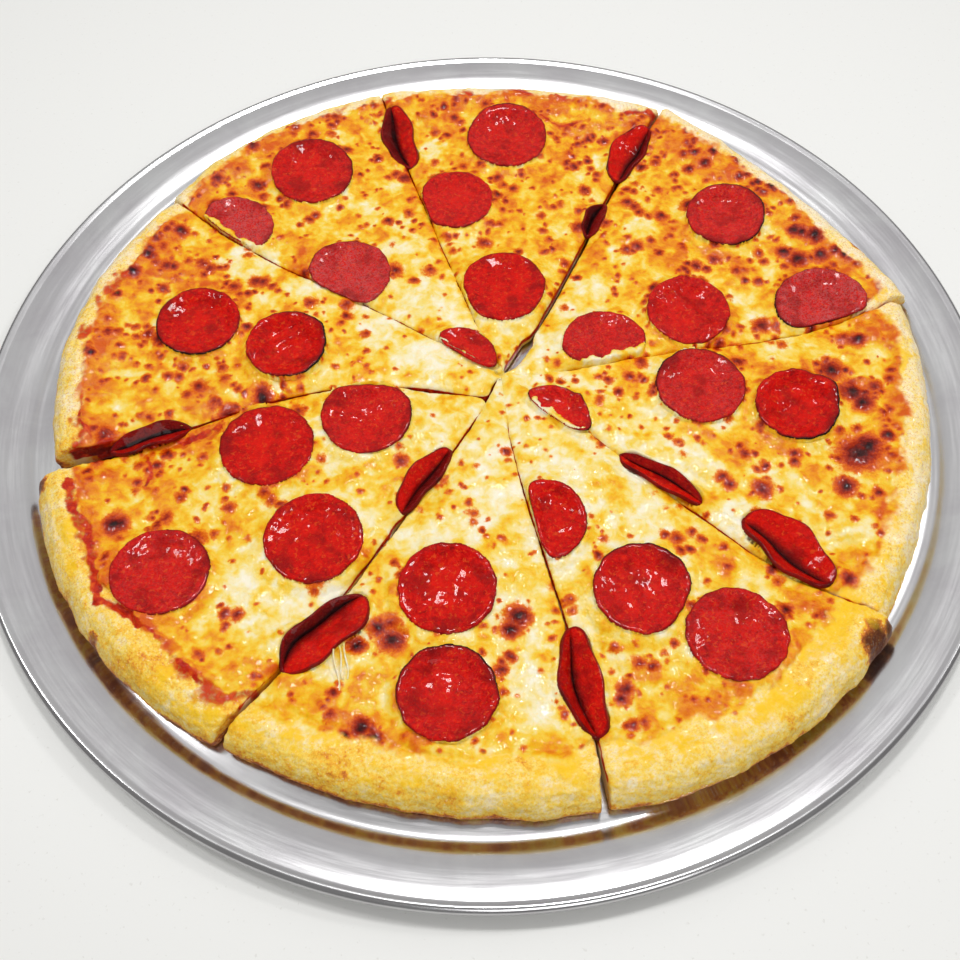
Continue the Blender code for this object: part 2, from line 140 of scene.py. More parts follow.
# Scorched spots in the cheese: place, radius and how dark
SCORCHED = (
    (-103, -18, 3.4, 1.0), (-90, -10, 3.2, 1.0), (-86, -13, 2.6, 0.9), (-137, -70, 3.6, 1.0),
    (-151, 53, 2.8, 0.9), (-146, 63, 2.6, 0.7), (-134, 78, 3.0, 0.6), (-156, 40, 1.6, 0.7),
    (-160, 8, 1.6, 0.8), (142, -45, 6.0, 0.8), (146, -42, 4.0, 1.0), (134, -59, 3.2, 0.8),
    (149, -21, 3.4, 0.8), (146, -15, 4.5, 0.4), (154, -38, 2.2, 0.8), (153, 10, 2.8, 0.8),
    (140, -4, 4.2, 0.5), (146, 67, 3.4, 1.0), (141, 70, 2.6, 0.9), (137, 55, 3.6, 0.6),
    (147, 56, 3.0, 0.8), (132, 60, 2.8, 0.6), (138, 71, 3.0, 0.5), (156, 55, 1.8, 0.8),
    (132, 97, 2.2, 0.8), (127, 101, 1.8, 0.7), (101, 122, 2.0, 0.6), (109, 121, 2.0, 0.6),
    (-43, -147, 3.0, 0.5), (-38, -150, 2.4, 0.5), (-48, -150, 2.0, 0.5), (10, -108, 3.6, 0.6),
    (7, -113, 3.0, 0.5), (-34, -116, 3.8, 0.7), (-39, -111, 2.8, 0.5), (-46, -118, 2.6, 0.6),
)

# Scorched spots on the crust: place, radius and how dark
CRUST_SCORCHED = (
    (132, -121, 7.5, 0.75), (137, -116, 4.0, 0.8), (-170, -52, 4.0, 0.7), (-171, -66, 3.0, 0.6),
    (-168, -42, 4.0, 0.6), (-138, -114, 2.5, 0.4), (165, 63, 3.5, 0.45),
)

# Pale cheese that hardly browned: place and radius
CREAM = (
    (-20, 10, 12), (-102, 61, 13), (62, -44, 16), (81, -50, 11), (30, -50, 10), (47, -46, 8),
    (122, 7, 9), (93, -71, 9), (135, -78, 7), (14, -133, 11), (-6, -134, 8), (-66, -116, 14),
    (-48, -68, 9), (-89, -96, 8), (-36, 68, 10), (-27, 39, 12), (-44, 23, 10), (-24, 131, 9),
    (71, 77, 9), (46, 43, 7), (-53, -37, 10), (-79, 45, 9), (82, -118, 9), (58, -70, 12),
)

# Sauce that shows through: the width of each streak and the points along it
SAUCE_STREAKS = (
    (2.6, ((-157, -52), (-154, -63), (-146, -72), (-142, -86), (-137, -101), (-124, -107))),
    (1.5, ((-124, -107), (-113, -116), (-103, -126), (-92, -136))),
    (1.3, ((-131, -39), (-128, -47), (-129, -53))),
    (1.5, ((-142, -37), (-117, -33), (-104, -27))),
    (1.5, ((-160, -13), (-159, -23), (-153, -31))),
    (2.6, ((-152, -34), (-134, -32))),
    (1.0, ((30, 150), (40, 144), (52, 146))),
)

# Open slices of sausage: how far the rim cups up, how dried it is, which also paints a pale sheen on it,
# how scorched it is, and on which side
COOKED = {
    "01": (1.6, 0.15, 0.5, 120), "02": (1.2, 0.1, 0.3, 180), "04": (1.5, 0.1, 0.5, 60),
    "05": (0.8, 0.8, 0.3, 150), "06": (0.9, 0.7, 0.3, 150), "07": (1.9, 0.0, 0.9, 225),
    "08": (2.2, 0.0, 1.0, 10), "09": (1.2, 0.0, 0.2, 0), "10": (0.8, 0.1, 0.6, 60),
    "13": (1.7, 0.3, 0.9, 20), "14": (1.8, 0.1, 0.2, 0), "15": (1.0, 0.25, 0.4, 45),
    "16": (1.2, 0.8, 0.6, 225), "17": (1.8, 0.3, 0.9, 100), "18": (2.0, 0.0, 1.0, 330),
    "19": (0.9, 0.1, 0.9, 40), "21": (1.4, 0.0, 0.6, 0), "23": (1.6, 0.1, 0.9, 60),
    "24": (1.0, 0.2, 0.2, 90), "26": (1.0, 0.0, 0.1, 0), "27": (2.0, 0.1, 0.9, 90),
    "30": (1.0, 0.0, 0.15, 0), "31": (1.0, 0.2, 0.25, 0), "32": (1.2, 0.0, 0.25, 100),
    "33": (1.3, 0.1, 0.5, 45),
}

# Slices of sausage with a ridge: its direction, how far off the middle and how high it is
RIDGES = {"08": (32, 3.0, 1.5), "14": (-58, 1.0, 1.5), "33": (10, 6.0, 0.8), "18": (20, 5.0, 0.9)}
RIDGE_WIDTH = 3.2

# Slices of sausage with a corner drawn out: its direction, how far and how wide
TIPS = {"18": (28, 0.12, 18), "08": (30, 0.05, 16), "19": (30, 0.06, 14), "27": (350, 0.05, 12)}
TIP_RISE = 1.2

# Slices of sausage that cheese has run over, and the side that it covers
COVERED = {"15": 282, "10": 234, "19": 229, "05": 234}
COVERED_WIDTH = 2.3

# All slices of sausage: how fine their mesh is, how far they sink in and how far they can reach
SAUSAGE_VOXEL = 0.62
SAUSAGE_SINK = 1.0
SAUSAGE_REACH = 30.0

# Threads of cheese, as places and heights along each
STRING_RADIUS = 0.3
STRINGS = (
    ((-50, -118, 13.4), (-50.5, -122, 12.2), (-47.5, -126, 11.6), (-48.5, -130, 11.2)),
    ((-53.5, -120, 13.2), (-54, -125, 12.0), (-50.5, -129, 11.6), (-51, -134, 11.2)),
    ((-51.5, -119, 13.3), (-50, -124, 12.4), (-51.5, -128, 11.6), (-50, -130, 11.4)),
)

# Folded slices of sausage: middle, length, width and direction, as in the solids
FOLDED = {
    "03": (-38, 139, 40.0, 15.0, 108),
    "11": (70.5, 125, 37.0, 15.0, 62),
    "12": (51.5, 84.5, 22.0, 9.0, 62),
    "20": (66, -52, 37.0, 10.0, 320),
    "22": (108.5, -83.5, 39.0, 19.0, 318),
    "25": (31, -132, 41.0, 14.0, 100),
    "28": (-57.5, -113, 39.0, 18.0, 52),
    "29": (-24, -50.5, 34.0, 11.0, 60),
    "34": (-131, -31, 32.0, 11.0, 20),
}

# How each is folded: its crease's place, how far its two lips rise and how much painted shade darkens
# each of its two sides
CREASES = {
    "03": (0.1, 0.6, 2.2, 0.9, 0.0),
    "11": (-0.5, 2.0, 0.2, 0.0, 0.9),
    "12": (0.2, 0.8, 0.4, 1.0, 0.8),
    "20": (0.2, 0.5, 1.0, 0.5, 0.0),
    "22": (-0.35, 2.0, 1.4, 0.0, 0.25),
    "25": (0.25, 1.2, 2.2, 0.3, 0.0),
    "28": (0.55, 0.3, 2.4, 0.9, 0.0),
    "29": (-0.1, 2.0, 0.5, 0.0, 0.9),
    "34": (0.1, 0.5, 1.0, 0.8, 0.4),
}

# All folded slices: how deep they go, how thick they are, how far they sink and their first mesh
FOLD_DEPTH = 3.6
FOLD_THICKNESS = 1.5
FOLD_SINK = 0.15
FOLD_GRID = (48, 34)

# Colours along each finish, as a screen shows them: how far along, and red, green and blue
MELTED_TONES = (
    (0.0, (248, 240, 214)), (0.16, (247, 231, 178)), (0.32, (246, 219, 122)), (0.46, (245, 204, 62)),
    (0.6, (243, 182, 20)), (0.76, (236, 146, 16)), (1.0, (216, 92, 12)),
)
BROWNED_TONES = (
    (0.15, (242, 162, 14)), (0.34, (230, 118, 8)), (0.5, (206, 78, 8)), (0.62, (172, 46, 7)),
    (0.78, (124, 22, 6)), (0.95, (64, 9, 6)),
)
CRUST_TONES = (
    (0.0, (253, 240, 212)), (0.25, (253, 230, 172)), (0.48, (254, 218, 98)), (0.66, (249, 190, 54)),
    (0.82, (226, 134, 50)), (1.0, (168, 86, 40)),
)
SAUCE_TONES = ((0.3, (150, 14, 4)), (0.52, (196, 40, 8)), (0.72, (226, 92, 18)))
MEAT_TONES = ((0.3, (152, 1, 1)), (0.44, (196, 2, 1)), (0.56, (218, 6, 1)), (0.68, (234, 34, 6)))
SCORCH_TONES = ((0.55, (76, 14, 12)), (0.95, (22, 9, 12)))

# Single colours of the crust
CRUST_SPECK = (208, 132, 64)
CRUST_GRAIN = (254, 236, 184)
GREASE = (252, 202, 34)
CRUMB = (240, 214, 160)
CHARRED = (30, 8, 14)

# Single colours of the sausage
# Bright red, also used as painted light on the lit side of folded slices
BRIGHT_MEAT = (240, 24, 2)
FAT_FLECK = (236, 84, 26)
# Pale mauve of dried meat, which also paints the sheen of reflected light on those slices
DRY_MEAT_AND_SHEEN = (204, 104, 104)
SHADED_MEAT = (142, 2, 1)
# Painted shade for the creases and shaded sides of folded slices
FOLD_SHADE = (34, 1, 2)
RIM_RED = (122, 3, 8)

# The metal's two tones, as shares of the light that it sends back
METAL_TONES = ((0.3, (0.49, 0.475, 0.49)), (0.7, (0.58, 0.58, 0.58)))

# Single colours of the worktop
WORKTOP = (237, 237, 234)
WORKTOP_SPECK = (188, 184, 176)

# Lights: place and size in metres, and power in watts
LIGHTS = {
    "ceiling": ((0.0, 0.7, 1.1), (1.8, 1.4), 3.5),
    "lamp": ((0.06, 0.26, 1.0), (0.13, 0.13), 3.4),
    "left lamp": ((-0.55, 0.2, 0.95), (0.12, 0.12), 1.8),
    "right lamp": ((0.75, 0.35, 0.9), (0.12, 0.12), 1.8),
    "front": ((0.2, -0.75, 0.8), (0.5, 0.5), 2.7),
}

# The room's own light, and the worktop's size and height in metres
ROOM_TINT = (1.0, 0.99, 0.98, 1.0)
ROOM_STRENGTH = 0.28
WORKTOP_SIZE = 6.0
WORKTOP_HEIGHT = -0.0002

# Camera: its angles in degrees, its target and distance in millimetres, and its lens
CAMERA_ELEVATION = 59.34
CAMERA_ROLL = -1.014
CAMERA_TARGET = (-2.74, -46.53, 0.0)
CAMERA_DISTANCE = 371.6
CAMERA_LENS = 35.625
CAMERA_SENSOR = 36.0


def deselect():
    """Nothing selected, so that the next operator touches only what is meant."""
    for item in bpy.context.view_layer.objects.selected[:]:
        item.select_set(False)


def make_active(item):
    """Select one object alone and make it the active one."""
    deselect()
    item.select_set(True)
    bpy.context.view_layer.objects.active = item


def add_object(name, data):
    """Put a mesh, a curve, a light or a camera in the scene under a name."""
    item = bpy.data.objects.new(name, data)
    bpy.context.scene.collection.objects.link(item)
    return item


def apply_all(item):
    """Apply an object's modifiers in order."""
    make_active(item)
    for modifier in item.modifiers[:]:
        bpy.ops.object.modifier_apply(modifier=modifier.name)


def remesh_evenly(item, voxel, smoothing):
    """Turn a rough solid into an even mesh and melt its facets away."""
    remesh = item.modifiers.new("even", "REMESH")
    remesh.mode = "VOXEL"
    remesh.voxel_size = voxel * MM
    melt = item.modifiers.new("melt", "SMOOTH")
    melt.factor = 0.5
    melt.iterations = smoothing
    apply_all(item)


def refine(item, levels):
    """Subdivide a mesh smoothly, or leave it as it is at level 0."""
    if not levels:
        return
    finer = item.modifiers.new("finer", "SUBSURF")
    finer.levels = levels
    finer.render_levels = levels
    apply_all(item)


def points_of(mesh):
    """The points of a mesh in millimetres."""
    flat = np.empty(len(mesh.vertices) * 3, np.float32)
    mesh.vertices.foreach_get("co", flat)
    return flat.reshape(-1, 3).astype(np.float64) / MM


def normals_of(mesh):
    """The outward directions at a mesh's points."""
    flat = np.empty(len(mesh.vertices) * 3, np.float32)
    mesh.vertices.foreach_get("normal", flat)
    return flat.reshape(-1, 3).astype(np.float64)


def set_points(mesh, points):
    """Move a mesh's points to places in millimetres."""
    mesh.vertices.foreach_set("co", (points * MM).astype(np.float32).ravel())
    mesh.update()


def store(mesh, name, red, green, blue, alpha):
    """Keep four values at each point for the material to read."""
    layer = mesh.attributes.new(name, "FLOAT_COLOR", "POINT")
    values = np.empty((len(mesh.vertices), 4), np.float32)
    for column, value in enumerate((red, green, blue, alpha)):
        values[:, column] = value
    layer.data.foreach_set("color", values.ravel())


def clean_copy(name, node):
    """A copy of a solid's mesh with its doubles merged."""
    mesh = frame["nodes"][node].data.copy()
    mesh.materials.clear()
    item = add_object(name, mesh)
    make_active(item)
    bpy.ops.object.mode_set(mode="EDIT")
    bpy.ops.mesh.select_all(action="SELECT")
    bpy.ops.mesh.remove_doubles(threshold=MERGE_GAP)
    bpy.ops.object.mode_set(mode="OBJECT")
    return item


def step(low, high, value):
    """An S-shaped rise from 0 to 1 between two values."""
    share = np.clip((value - low) / (high - low), 0.0, 1.0)
    return share * share * (3.0 - 2.0 * share)


def read_table(table, value):
    """Read a table of pairs, straight between them."""
    places = [pair[0] for pair in table]
    values = [pair[1] for pair in table]
    return np.interp(value, places, values)


def scramble(cells, seed):
    """A repeatable value between 0 and 1 for each cell of a lattice."""
    mixed = cells[..., 0] * 73856093 ^ cells[..., 1] * 19349663 ^ cells[..., 2] * 83492791
    mixed = (mixed ^ seed * 2654435761) & 0xFFFFFFFF
    mixed = (mixed ^ (mixed >> 15)) * 2246822519 & 0xFFFFFFFF
    mixed = (mixed ^ (mixed >> 13)) * 3266489917 & 0xFFFFFFFF
    return ((mixed ^ (mixed >> 16)) & 0xFFFFFF) / 0xFFFFFF


def rolling(points, size, seed):
    """Smooth unevenness between about -1 and 1, of one size in millimetres."""
    spots = points / size + 100.5
    low = np.floor(spots).astype(np.int64)
    part = spots - low
    ease = part * part * (3.0 - 2.0 * part)
    total = np.zeros(len(points))
    for corner in np.ndindex(2, 2, 2):
        share = np.ones(len(points))
        pull = np.zeros(len(points))
        for axis in range(3):
            near = ease[:, axis] if corner[axis] else 1.0 - ease[:, axis]
            share *= near
            slope = scramble(low + corner, seed * 3 + axis + 1) * 2.0 - 1.0
            pull += slope * (part[:, axis] - corner[axis])
        total += share * pull
    return total * 1.6


def layered(points, size, seed, layers=3):
    """Unevenness of a size with finer unevenness on it."""
    total = np.zeros(len(points))
    strength = 1.0
    for layer in range(layers):
        total += strength * rolling(points, size / 2.1 ** layer, seed + 11 * layer)
        strength *= 0.5
    return total


class Recipe:
    """A material's nodes, with short calls for the kinds that are used here."""

    def __init__(self, name):
        self.material = bpy.data.materials.new(name)
        self.material.use_nodes = True
        self.tree = self.material.node_tree
        self.shader = self.tree.nodes["Principled BSDF"]
        self.place = self.tree.nodes.new("ShaderNodeTexCoord").outputs["Object"]

    def put(self, socket, value):
        """Link a socket to an output, or give it a plain value."""
        if isinstance(value, bpy.types.NodeSocket):
            self.tree.links.new(value, socket)
        elif isinstance(value, tuple):
            socket.default_value = value if len(value) == 4 else (*value, 1.0)
        else:
            socket.default_value = value

    def math(self, operation, first, second=0.0, third=0.0):
        """One sum on two or three values."""
        node = self.tree.nodes.new("ShaderNodeMath")
        node.operation = operation
        for index, value in enumerate((first, second, third)):
            self.put(node.inputs[index], value)
        return node.outputs[0]

    def noise(self, size, detail=3.0, roughness=0.55, warp=0.0, place=None):
        """Soft noise of a size in millimetres, about 0 to 1."""
        node = self.tree.nodes.new("ShaderNodeTexNoise")
        self.tree.links.new(place or self.place, node.inputs["Vector"])
        node.inputs["Scale"].default_value = 1.0 / (size * MM)
        node.inputs["Detail"].default_value = detail
        node.inputs["Roughness"].default_value = roughness
        node.inputs["Distortion"].default_value = warp
        return node.outputs["Fac"]

    def cells(self, size):
        """Distance to scattered points about a size in millimetres apart."""
        node = self.tree.nodes.new("ShaderNodeTexVoronoi")
        self.tree.links.new(self.place, node.inputs["Vector"])
        node.inputs["Scale"].default_value = 1.0 / (size * MM)
        return node.outputs["Distance"]

    def between(self, value, low, high, start=0.0, end=1.0):
        """A value turned into an S-shaped share between two limits."""
        node = self.tree.nodes.new("ShaderNodeMapRange")
        node.interpolation_type = "SMOOTHSTEP"
        self.put(node.inputs["Value"], value)
        node.inputs["From Min"].default_value = low
        node.inputs["From Max"].default_value = high
        node.inputs["To Min"].default_value = start
        node.inputs["To Max"].default_value = end
        return node.outputs["Result"]

    def uneven(self, value, noise, strength):
        """A value moved up and down by noise, by half the strength each way."""
        return self.math("ADD", value, self.math("MULTIPLY_ADD", noise, strength, -strength / 2))

    def mix(self, share, first, second):
        """Two colours mixed by a share."""
        node = self.tree.nodes.new("ShaderNodeMix")
        node.data_type = "RGBA"
        self.put(node.inputs["Factor"], share)
        self.put(node.inputs[6], first)
        self.put(node.inputs[7], second)
        return node.outputs[2]

    def ramp(self, share, stops):
        """A run of colours along a share."""
        node = self.tree.nodes.new("ShaderNodeValToRGB")
        band = node.color_ramp
        while len(band.elements) < len(stops):
            band.elements.new(0.5)
        for element, (place, colour) in zip(band.elements, stops):
            element.position = place
            element.color = (*colour, 1.0)
        self.put(node.inputs["Fac"], share)
        return node.outputs["Color"]

    def attribute(self, name):
        """The four values kept at each point under a name."""
        node = self.tree.nodes.new("ShaderNodeAttribute")
        node.attribute_name = name
        parts = self.tree.nodes.new("ShaderNodeSeparateColor")
        self.tree.links.new(node.outputs["Color"], parts.inputs["Color"])
        return (*(parts.outputs[part] for part in ("Red", "Green", "Blue")), node.outputs["Alpha"])

    def bump(self, height, distance, strength):
        """Fine relief from a height, its depth in millimetres."""
        node = self.tree.nodes.new("ShaderNodeBump")
        self.put(node.inputs["Height"], height)
        node.inputs["Distance"].default_value = distance * MM
        node.inputs["Strength"].default_value = strength
        return node.outputs["Normal"]

    def finish(self, **values):
        """Give the shader its inputs by name and hand over the material."""
        for name, value in values.items():
            self.put(self.shader.inputs[name.replace("_", " ")], value)
        return self.material


def srgb(colour):
    """A colour given as it looks on a screen, 0 to 255, as linear light."""
    parts = []
    for value in colour:
        value /= 255.0
        parts.append(value / 12.92 if value <= 0.04045 else ((value + 0.055) / 1.055) ** 2.4)
    return tuple(parts)


def screen_tones(tones):
    """A run of screen colours as linear light."""
    return [(place, srgb(colour)) for place, colour in tones]


def melted_cheese(recipe, oil, browning, noises):
    """Cheese from cream to gold by its oil, with orange to black where it is browned."""
    fine, small, _ = noises
    patches = recipe.noise(5.5, detail=2.0, roughness=0.5, warp=0.6)
    oil_here = recipe.uneven(recipe.uneven(oil, patches, 0.9), small, 0.5)
    melted = recipe.ramp(oil_here, screen_tones(MELTED_TONES))
    brown_here = recipe.uneven(recipe.uneven(browning, small, 0.5), fine, 0.4)
    tint = recipe.ramp(brown_here, screen_tones(BROWNED_TONES))
    return recipe.mix(recipe.between(brown_here, 0.12, 0.4), melted, tint)


def bare_crust(recipe, gold, wet, dough, speckled, noises):
    """Crust from flour white to toasted, with grains, grease and the crumb of the cut sides."""
    fine, small, wide = noises
    specks = recipe.between(recipe.noise(0.75, detail=2.0, roughness=0.7), 0.52, 0.66)
    gold_here = recipe.uneven(recipe.uneven(recipe.uneven(gold, wide, 0.9), small, 0.8), fine, 0.7)
    crust = recipe.ramp(gold_here, screen_tones(CRUST_TONES))
    crust = recipe.mix(recipe.math("MULTIPLY", specks, speckled), crust, srgb(CRUST_SPECK))
    pale_grains = recipe.between(recipe.cells(1.3), 0.3, 0.12)
    crust = recipe.mix(recipe.math("MULTIPLY", pale_grains, 0.4), crust, srgb(CRUST_GRAIN))
    wet_here = recipe.between(recipe.uneven(wet, small, 1.2), 0.2, 0.95, 0.0, 0.9)
    greasy = recipe.mix(wet_here, crust, srgb(GREASE))
    return recipe.mix(dough, greasy, srgb(CRUMB))


def baked_pizza_material():
    """Crust, sauce and browned cheese, chosen by what is kept at each point."""
    recipe = Recipe("baked pizza")
    browning, oil, sauce, cheese = recipe.attribute("topping")
    gold, char, wet, dough = recipe.attribute("baking")
    speckled = recipe.attribute("patches")[0]
    fine = recipe.noise(0.9, detail=4.0, roughness=0.65)
    small = recipe.noise(2.8, detail=4.0, roughness=0.6, warp=0.5)
    wide = recipe.noise(9.0, detail=5.0, roughness=0.62, warp=0.8)
    noises = (fine, small, wide)

    browned = melted_cheese(recipe, oil, browning, noises)
    crust = bare_crust(recipe, gold, wet, dough, speckled, noises)
    base = recipe.mix(cheese, crust, browned)
    sauce_tint = recipe.ramp(small, screen_tones(SAUCE_TONES))
    sauce_here = recipe.between(recipe.uneven(sauce, small, 0.9), 0.15, 0.8)
    base = recipe.mix(sauce_here, base, sauce_tint)
    base = recipe.mix(char, base, srgb(CHARRED))

    shine = recipe.between(wide, 0.35, 0.65, 0.16, 0.3)
    roughness = recipe.mix(cheese, (0.5, 0.5, 0.5), shine)
    grains = recipe.math("MULTIPLY_ADD", recipe.cells(1.5), -0.5, fine)
    pebbles = recipe.math("MULTIPLY_ADD", small, 0.6, recipe.math("MULTIPLY", grains, 0.5))
    normal = recipe.bump(pebbles, 0.5, 0.9)
    return recipe.finish(Base_Color=base, Roughness=roughness, Normal=normal,
                         Specular_IOR_Level=0.12, Subsurface_Weight=0.08,
                         Subsurface_Scale=0.0015, Coat_Weight=0.18, Coat_Roughness=0.06)


def sausage_material():
    """Cured sausage: deep red with orange flecks of fat, scorched rims and an oily shine, with painted
    shade and light on folded slices and a painted pale sheen on dried ones.
    """
    recipe = Recipe("pepperoni")
    burn, fold, dry_and_sheen, bright = recipe.attribute("cooking")
    fine = recipe.noise(0.7, detail=3.0, roughness=0.65)
    small = recipe.noise(2.4, detail=5.0, roughness=0.65, warp=0.6)
    wide = recipe.noise(9.0, detail=3.0)
    flecks = recipe.noise(1.5, detail=3.0, roughness=0.6, warp=0.8)
    meat = recipe.ramp(small, screen_tones(MEAT_TONES))
    # The bright value gives round slices a livelier red middle and is painted light on the lit side of
    # folded slices
    lively = recipe.mix(recipe.math("MULTIPLY", bright, 0.6), meat, srgb(BRIGHT_MEAT))
    fat = recipe.between(flecks, 0.56, 0.66)
    lively = recipe.mix(recipe.math("MULTIPLY", fat, 0.6), lively, srgb(FAT_FLECK))
    # Dried slices go pale mauve in speckles: dried meat together with a painted sheen of reflected light
    dried_and_sheen_share = recipe.math("MULTIPLY", dry_and_sheen, recipe.between(fine, 0.4, 0.6, 0.05, 0.85))
    lively = recipe.mix(dried_and_sheen_share, lively, srgb(DRY_MEAT_AND_SHEEN))
    shaded = recipe.between(wide, 0.5, 0.68, 0.0, 0.5)
    lively = recipe.mix(shaded, lively, srgb(SHADED_MEAT))
    # Painted shade: folded slices darkened towards near-black in their creases and on their shaded side
    deep = recipe.mix(fold, lively, srgb(FOLD_SHADE))
    edge = recipe.uneven(burn, wide, 0.9)
    ringed = recipe.mix(recipe.between(edge, 0.05, 0.5, 0.0, 0.8), deep, srgb(RIM_RED))
    scorch_tint = recipe.ramp(edge, screen_tones(SCORCH_TONES))
    base = recipe.mix(recipe.between(edge, 0.5, 0.85), ringed, scorch_tint)
    wrinkles = recipe.math("MULTIPLY_ADD", small, 0.8, recipe.math("MULTIPLY", fine, 0.8))
    normal = recipe.bump(wrinkles, 0.9, 1.0)
    roughness = recipe.mix(dry_and_sheen, (0.3, 0.3, 0.3), (0.5, 0.5, 0.5))
    return recipe.finish(Base_Color=base, Roughness=roughness, Normal=normal,
                         Specular_IOR_Level=0.08, Coat_Weight=0.19, Coat_Roughness=0.07)


def pan_material():
    """Aluminium brushed in rings, with faint stains."""
    recipe = Recipe("pan metal")
    parts = recipe.tree.nodes.new("ShaderNodeSeparateXYZ")
    recipe.tree.links.new(recipe.place, parts.inputs[0])
    across, away = parts.outputs["X"], parts.outputs["Y"]
    squares = recipe.math("MULTIPLY_ADD", across, across, recipe.math("MULTIPLY", away, away))
    rings = recipe.tree.nodes.new("ShaderNodeCombineXYZ")
    recipe.put(rings.inputs["X"], recipe.math("SQRT", squares))
    recipe.put(rings.inputs["Y"], recipe.math("MULTIPLY", across, 0.03))
    recipe.put(rings.inputs["Z"], recipe.math("MULTIPLY", away, 0.03))
    streaks = recipe.noise(0.9, detail=5.0, roughness=0.7, place=rings.outputs["Vector"])
    stains = recipe.noise(34.0, detail=5.0, roughness=0.6, warp=0.6)
    tone = recipe.ramp(stains, METAL_TONES)
    roughness = recipe.between(streaks, 0.3, 0.7, 0.17, 0.24)
    normal = recipe.bump(streaks, 0.012, 0.5)
    return recipe.finish(Base_Color=tone, Metallic=1.0, Roughness=roughness, Normal=normal)


def table_material():
    """A pale worktop with faint specks."""
    recipe = Recipe("worktop")
    specks = recipe.between(recipe.noise(1.6, detail=2.0), 0.66, 0.74)
    tone = recipe.mix(recipe.math("MULTIPLY", specks, 0.25), srgb(WORKTOP), srgb(WORKTOP_SPECK))
    return recipe.finish(Base_Color=tone, Roughness=0.45)


def rim_curve():
    """The pan's rim line with its corners eased, as (radius, height) points."""
    inner, outer = RIM_LINE[0][0], RIM_LINE[-1][0]
    radii = np.linspace(inner - 2.5, outer, RIM_STEPS)
    spread = np.linspace(-RIM_EASING, RIM_EASING, RIM_EASING_STEPS)
    line = ((inner - 12.0, SHEET), *RIM_LINE, (outer + 3.0, 8.25))
    return [(radius, float(np.mean(read_table(line, radius + spread)))) for radius in radii]


def pan_section():
    """The pan's section from the middle of its underside round the edge to the middle on top."""
    rim = rim_curve()
    middle = (PAN_RADIUS - BEAD_RADIUS, RIM_LINE[-1][1] - BEAD_DROP)
    bead = []
    for angle in np.linspace(BEAD_FROM, BEAD_TO, BEAD_STEPS):
        turn = math.radians(angle)
        bead.append((middle[0] + BEAD_RADIUS * math.cos(turn), middle[1] + BEAD_RADIUS * math.sin(turn)))
    under = [(radius + SHEET_SHIFT, height - SHEET) for radius, height in rim[:-2]]
    floor_under = [(radius, 0.0) for radius in FLOOR_RINGS[:-1]]
    floor_top = [(radius, SHEET) for radius in reversed(FLOOR_RINGS[:-1])]
    return floor_under + under + bead + list(reversed(rim)) + floor_top


def make_pan():
    """Spin the pan's section round the upright axis."""
    section = pan_section()
    mesh = bpy.data.meshes.new("pizza_pan")
    edges = [(index, index + 1) for index in range(len(section) - 1)]
    mesh.from_pydata([(radius * MM, 0.0, height * MM) for radius, height in section], edges, [])
    item = add_object("pizza_pan", mesh)
    make_active(item)
    bpy.ops.object.mode_set(mode="EDIT")
    bpy.ops.mesh.select_all(action="SELECT")
    bpy.ops.mesh.spin(steps=PAN_TURNS, dupli=False, angle=math.tau, center=(0, 0, 0), axis=(0, 0, 1))
    bpy.ops.mesh.select_all(action="SELECT")
    bpy.ops.mesh.remove_doubles(threshold=MERGE_GAP)
    bpy.ops.mesh.normals_make_consistent(inside=False)
    bpy.ops.object.mode_set(mode="OBJECT")
    return item


class Disc:
    """The plan of a slice of sausage: its middle and its reach in each direction."""

    BINS = 60
    ABOVE = 30.0

    def __init__(self, points):
        self.middle = (points[:, :2].max(axis=0) + points[:, :2].min(axis=0)) / 2
        away = points[:, :2] - self.middle
        turn = np.arctan2(away[:, 1], away[:, 0])
        reach = np.hypot(away[:, 0], away[:, 1])
        cell = ((turn + math.pi) / math.tau * self.BINS).astype(int) % self.BINS
        self.reach = np.zeros(self.BINS)
        np.maximum.at(self.reach, cell, reach)
        self.turns = (np.arange(self.BINS) + 0.5) / self.BINS * math.tau - math.pi
        self.tree = None
        self.covered_degrees = None

    def share(self, points):
        """How far out each point lies, 0 in the middle and 1 at the edge, and its direction."""
        away = points[:, :2] - self.middle
        turn = np.arctan2(away[:, 1], away[:, 0])
        reach = np.interp(turn, self.turns, self.reach, period=math.tau)
        return np.hypot(away[:, 0], away[:, 1]) / reach, turn

    def remember(self, mesh):
        """Keep the finished shape, so that the cheese can lie under it."""
        corners = [vertex.co.copy() for vertex in mesh.vertices]
        self.tree = BVHTree.FromPolygons(corners, [face.vertices[:] for face in mesh.polygons])

    def height(self, x, y, start, way):
        """Where an upright line first meets the slice, or None beside it."""
        hit = self.tree.ray_cast(Vector((x, y, start)) * MM, Vector((0.0, 0.0, way)))[0]
        return None if hit is None else hit.z / MM

    def underside(self, x, y):
        """The height of the underside at a place, or None beside it."""
        return self.height(x, y, 0.0, 1.0)

    def top(self, x, y):
        """The height of the top at a place, or None beside it."""
        return self.height(x, y, self.ABOVE, -1.0)


def under_limit(heights):
    """Heights eased down so that none passes the top of the solids."""
    start = TOP_LIMIT - TOP_EASING
    over = np.maximum(heights - start, 0.0)
    return np.minimum(heights, start) + TOP_EASING * np.tanh(over / TOP_EASING)


def rim_waves(turn, counts, low, high, rng):
    """Waves round a slice of sausage, each of random strength and start."""
    total = np.zeros(len(turn))
    for count in counts:
        total += rng.uniform(low, high) * np.sin(count * turn + rng.uniform(0.0, math.tau))
    return total


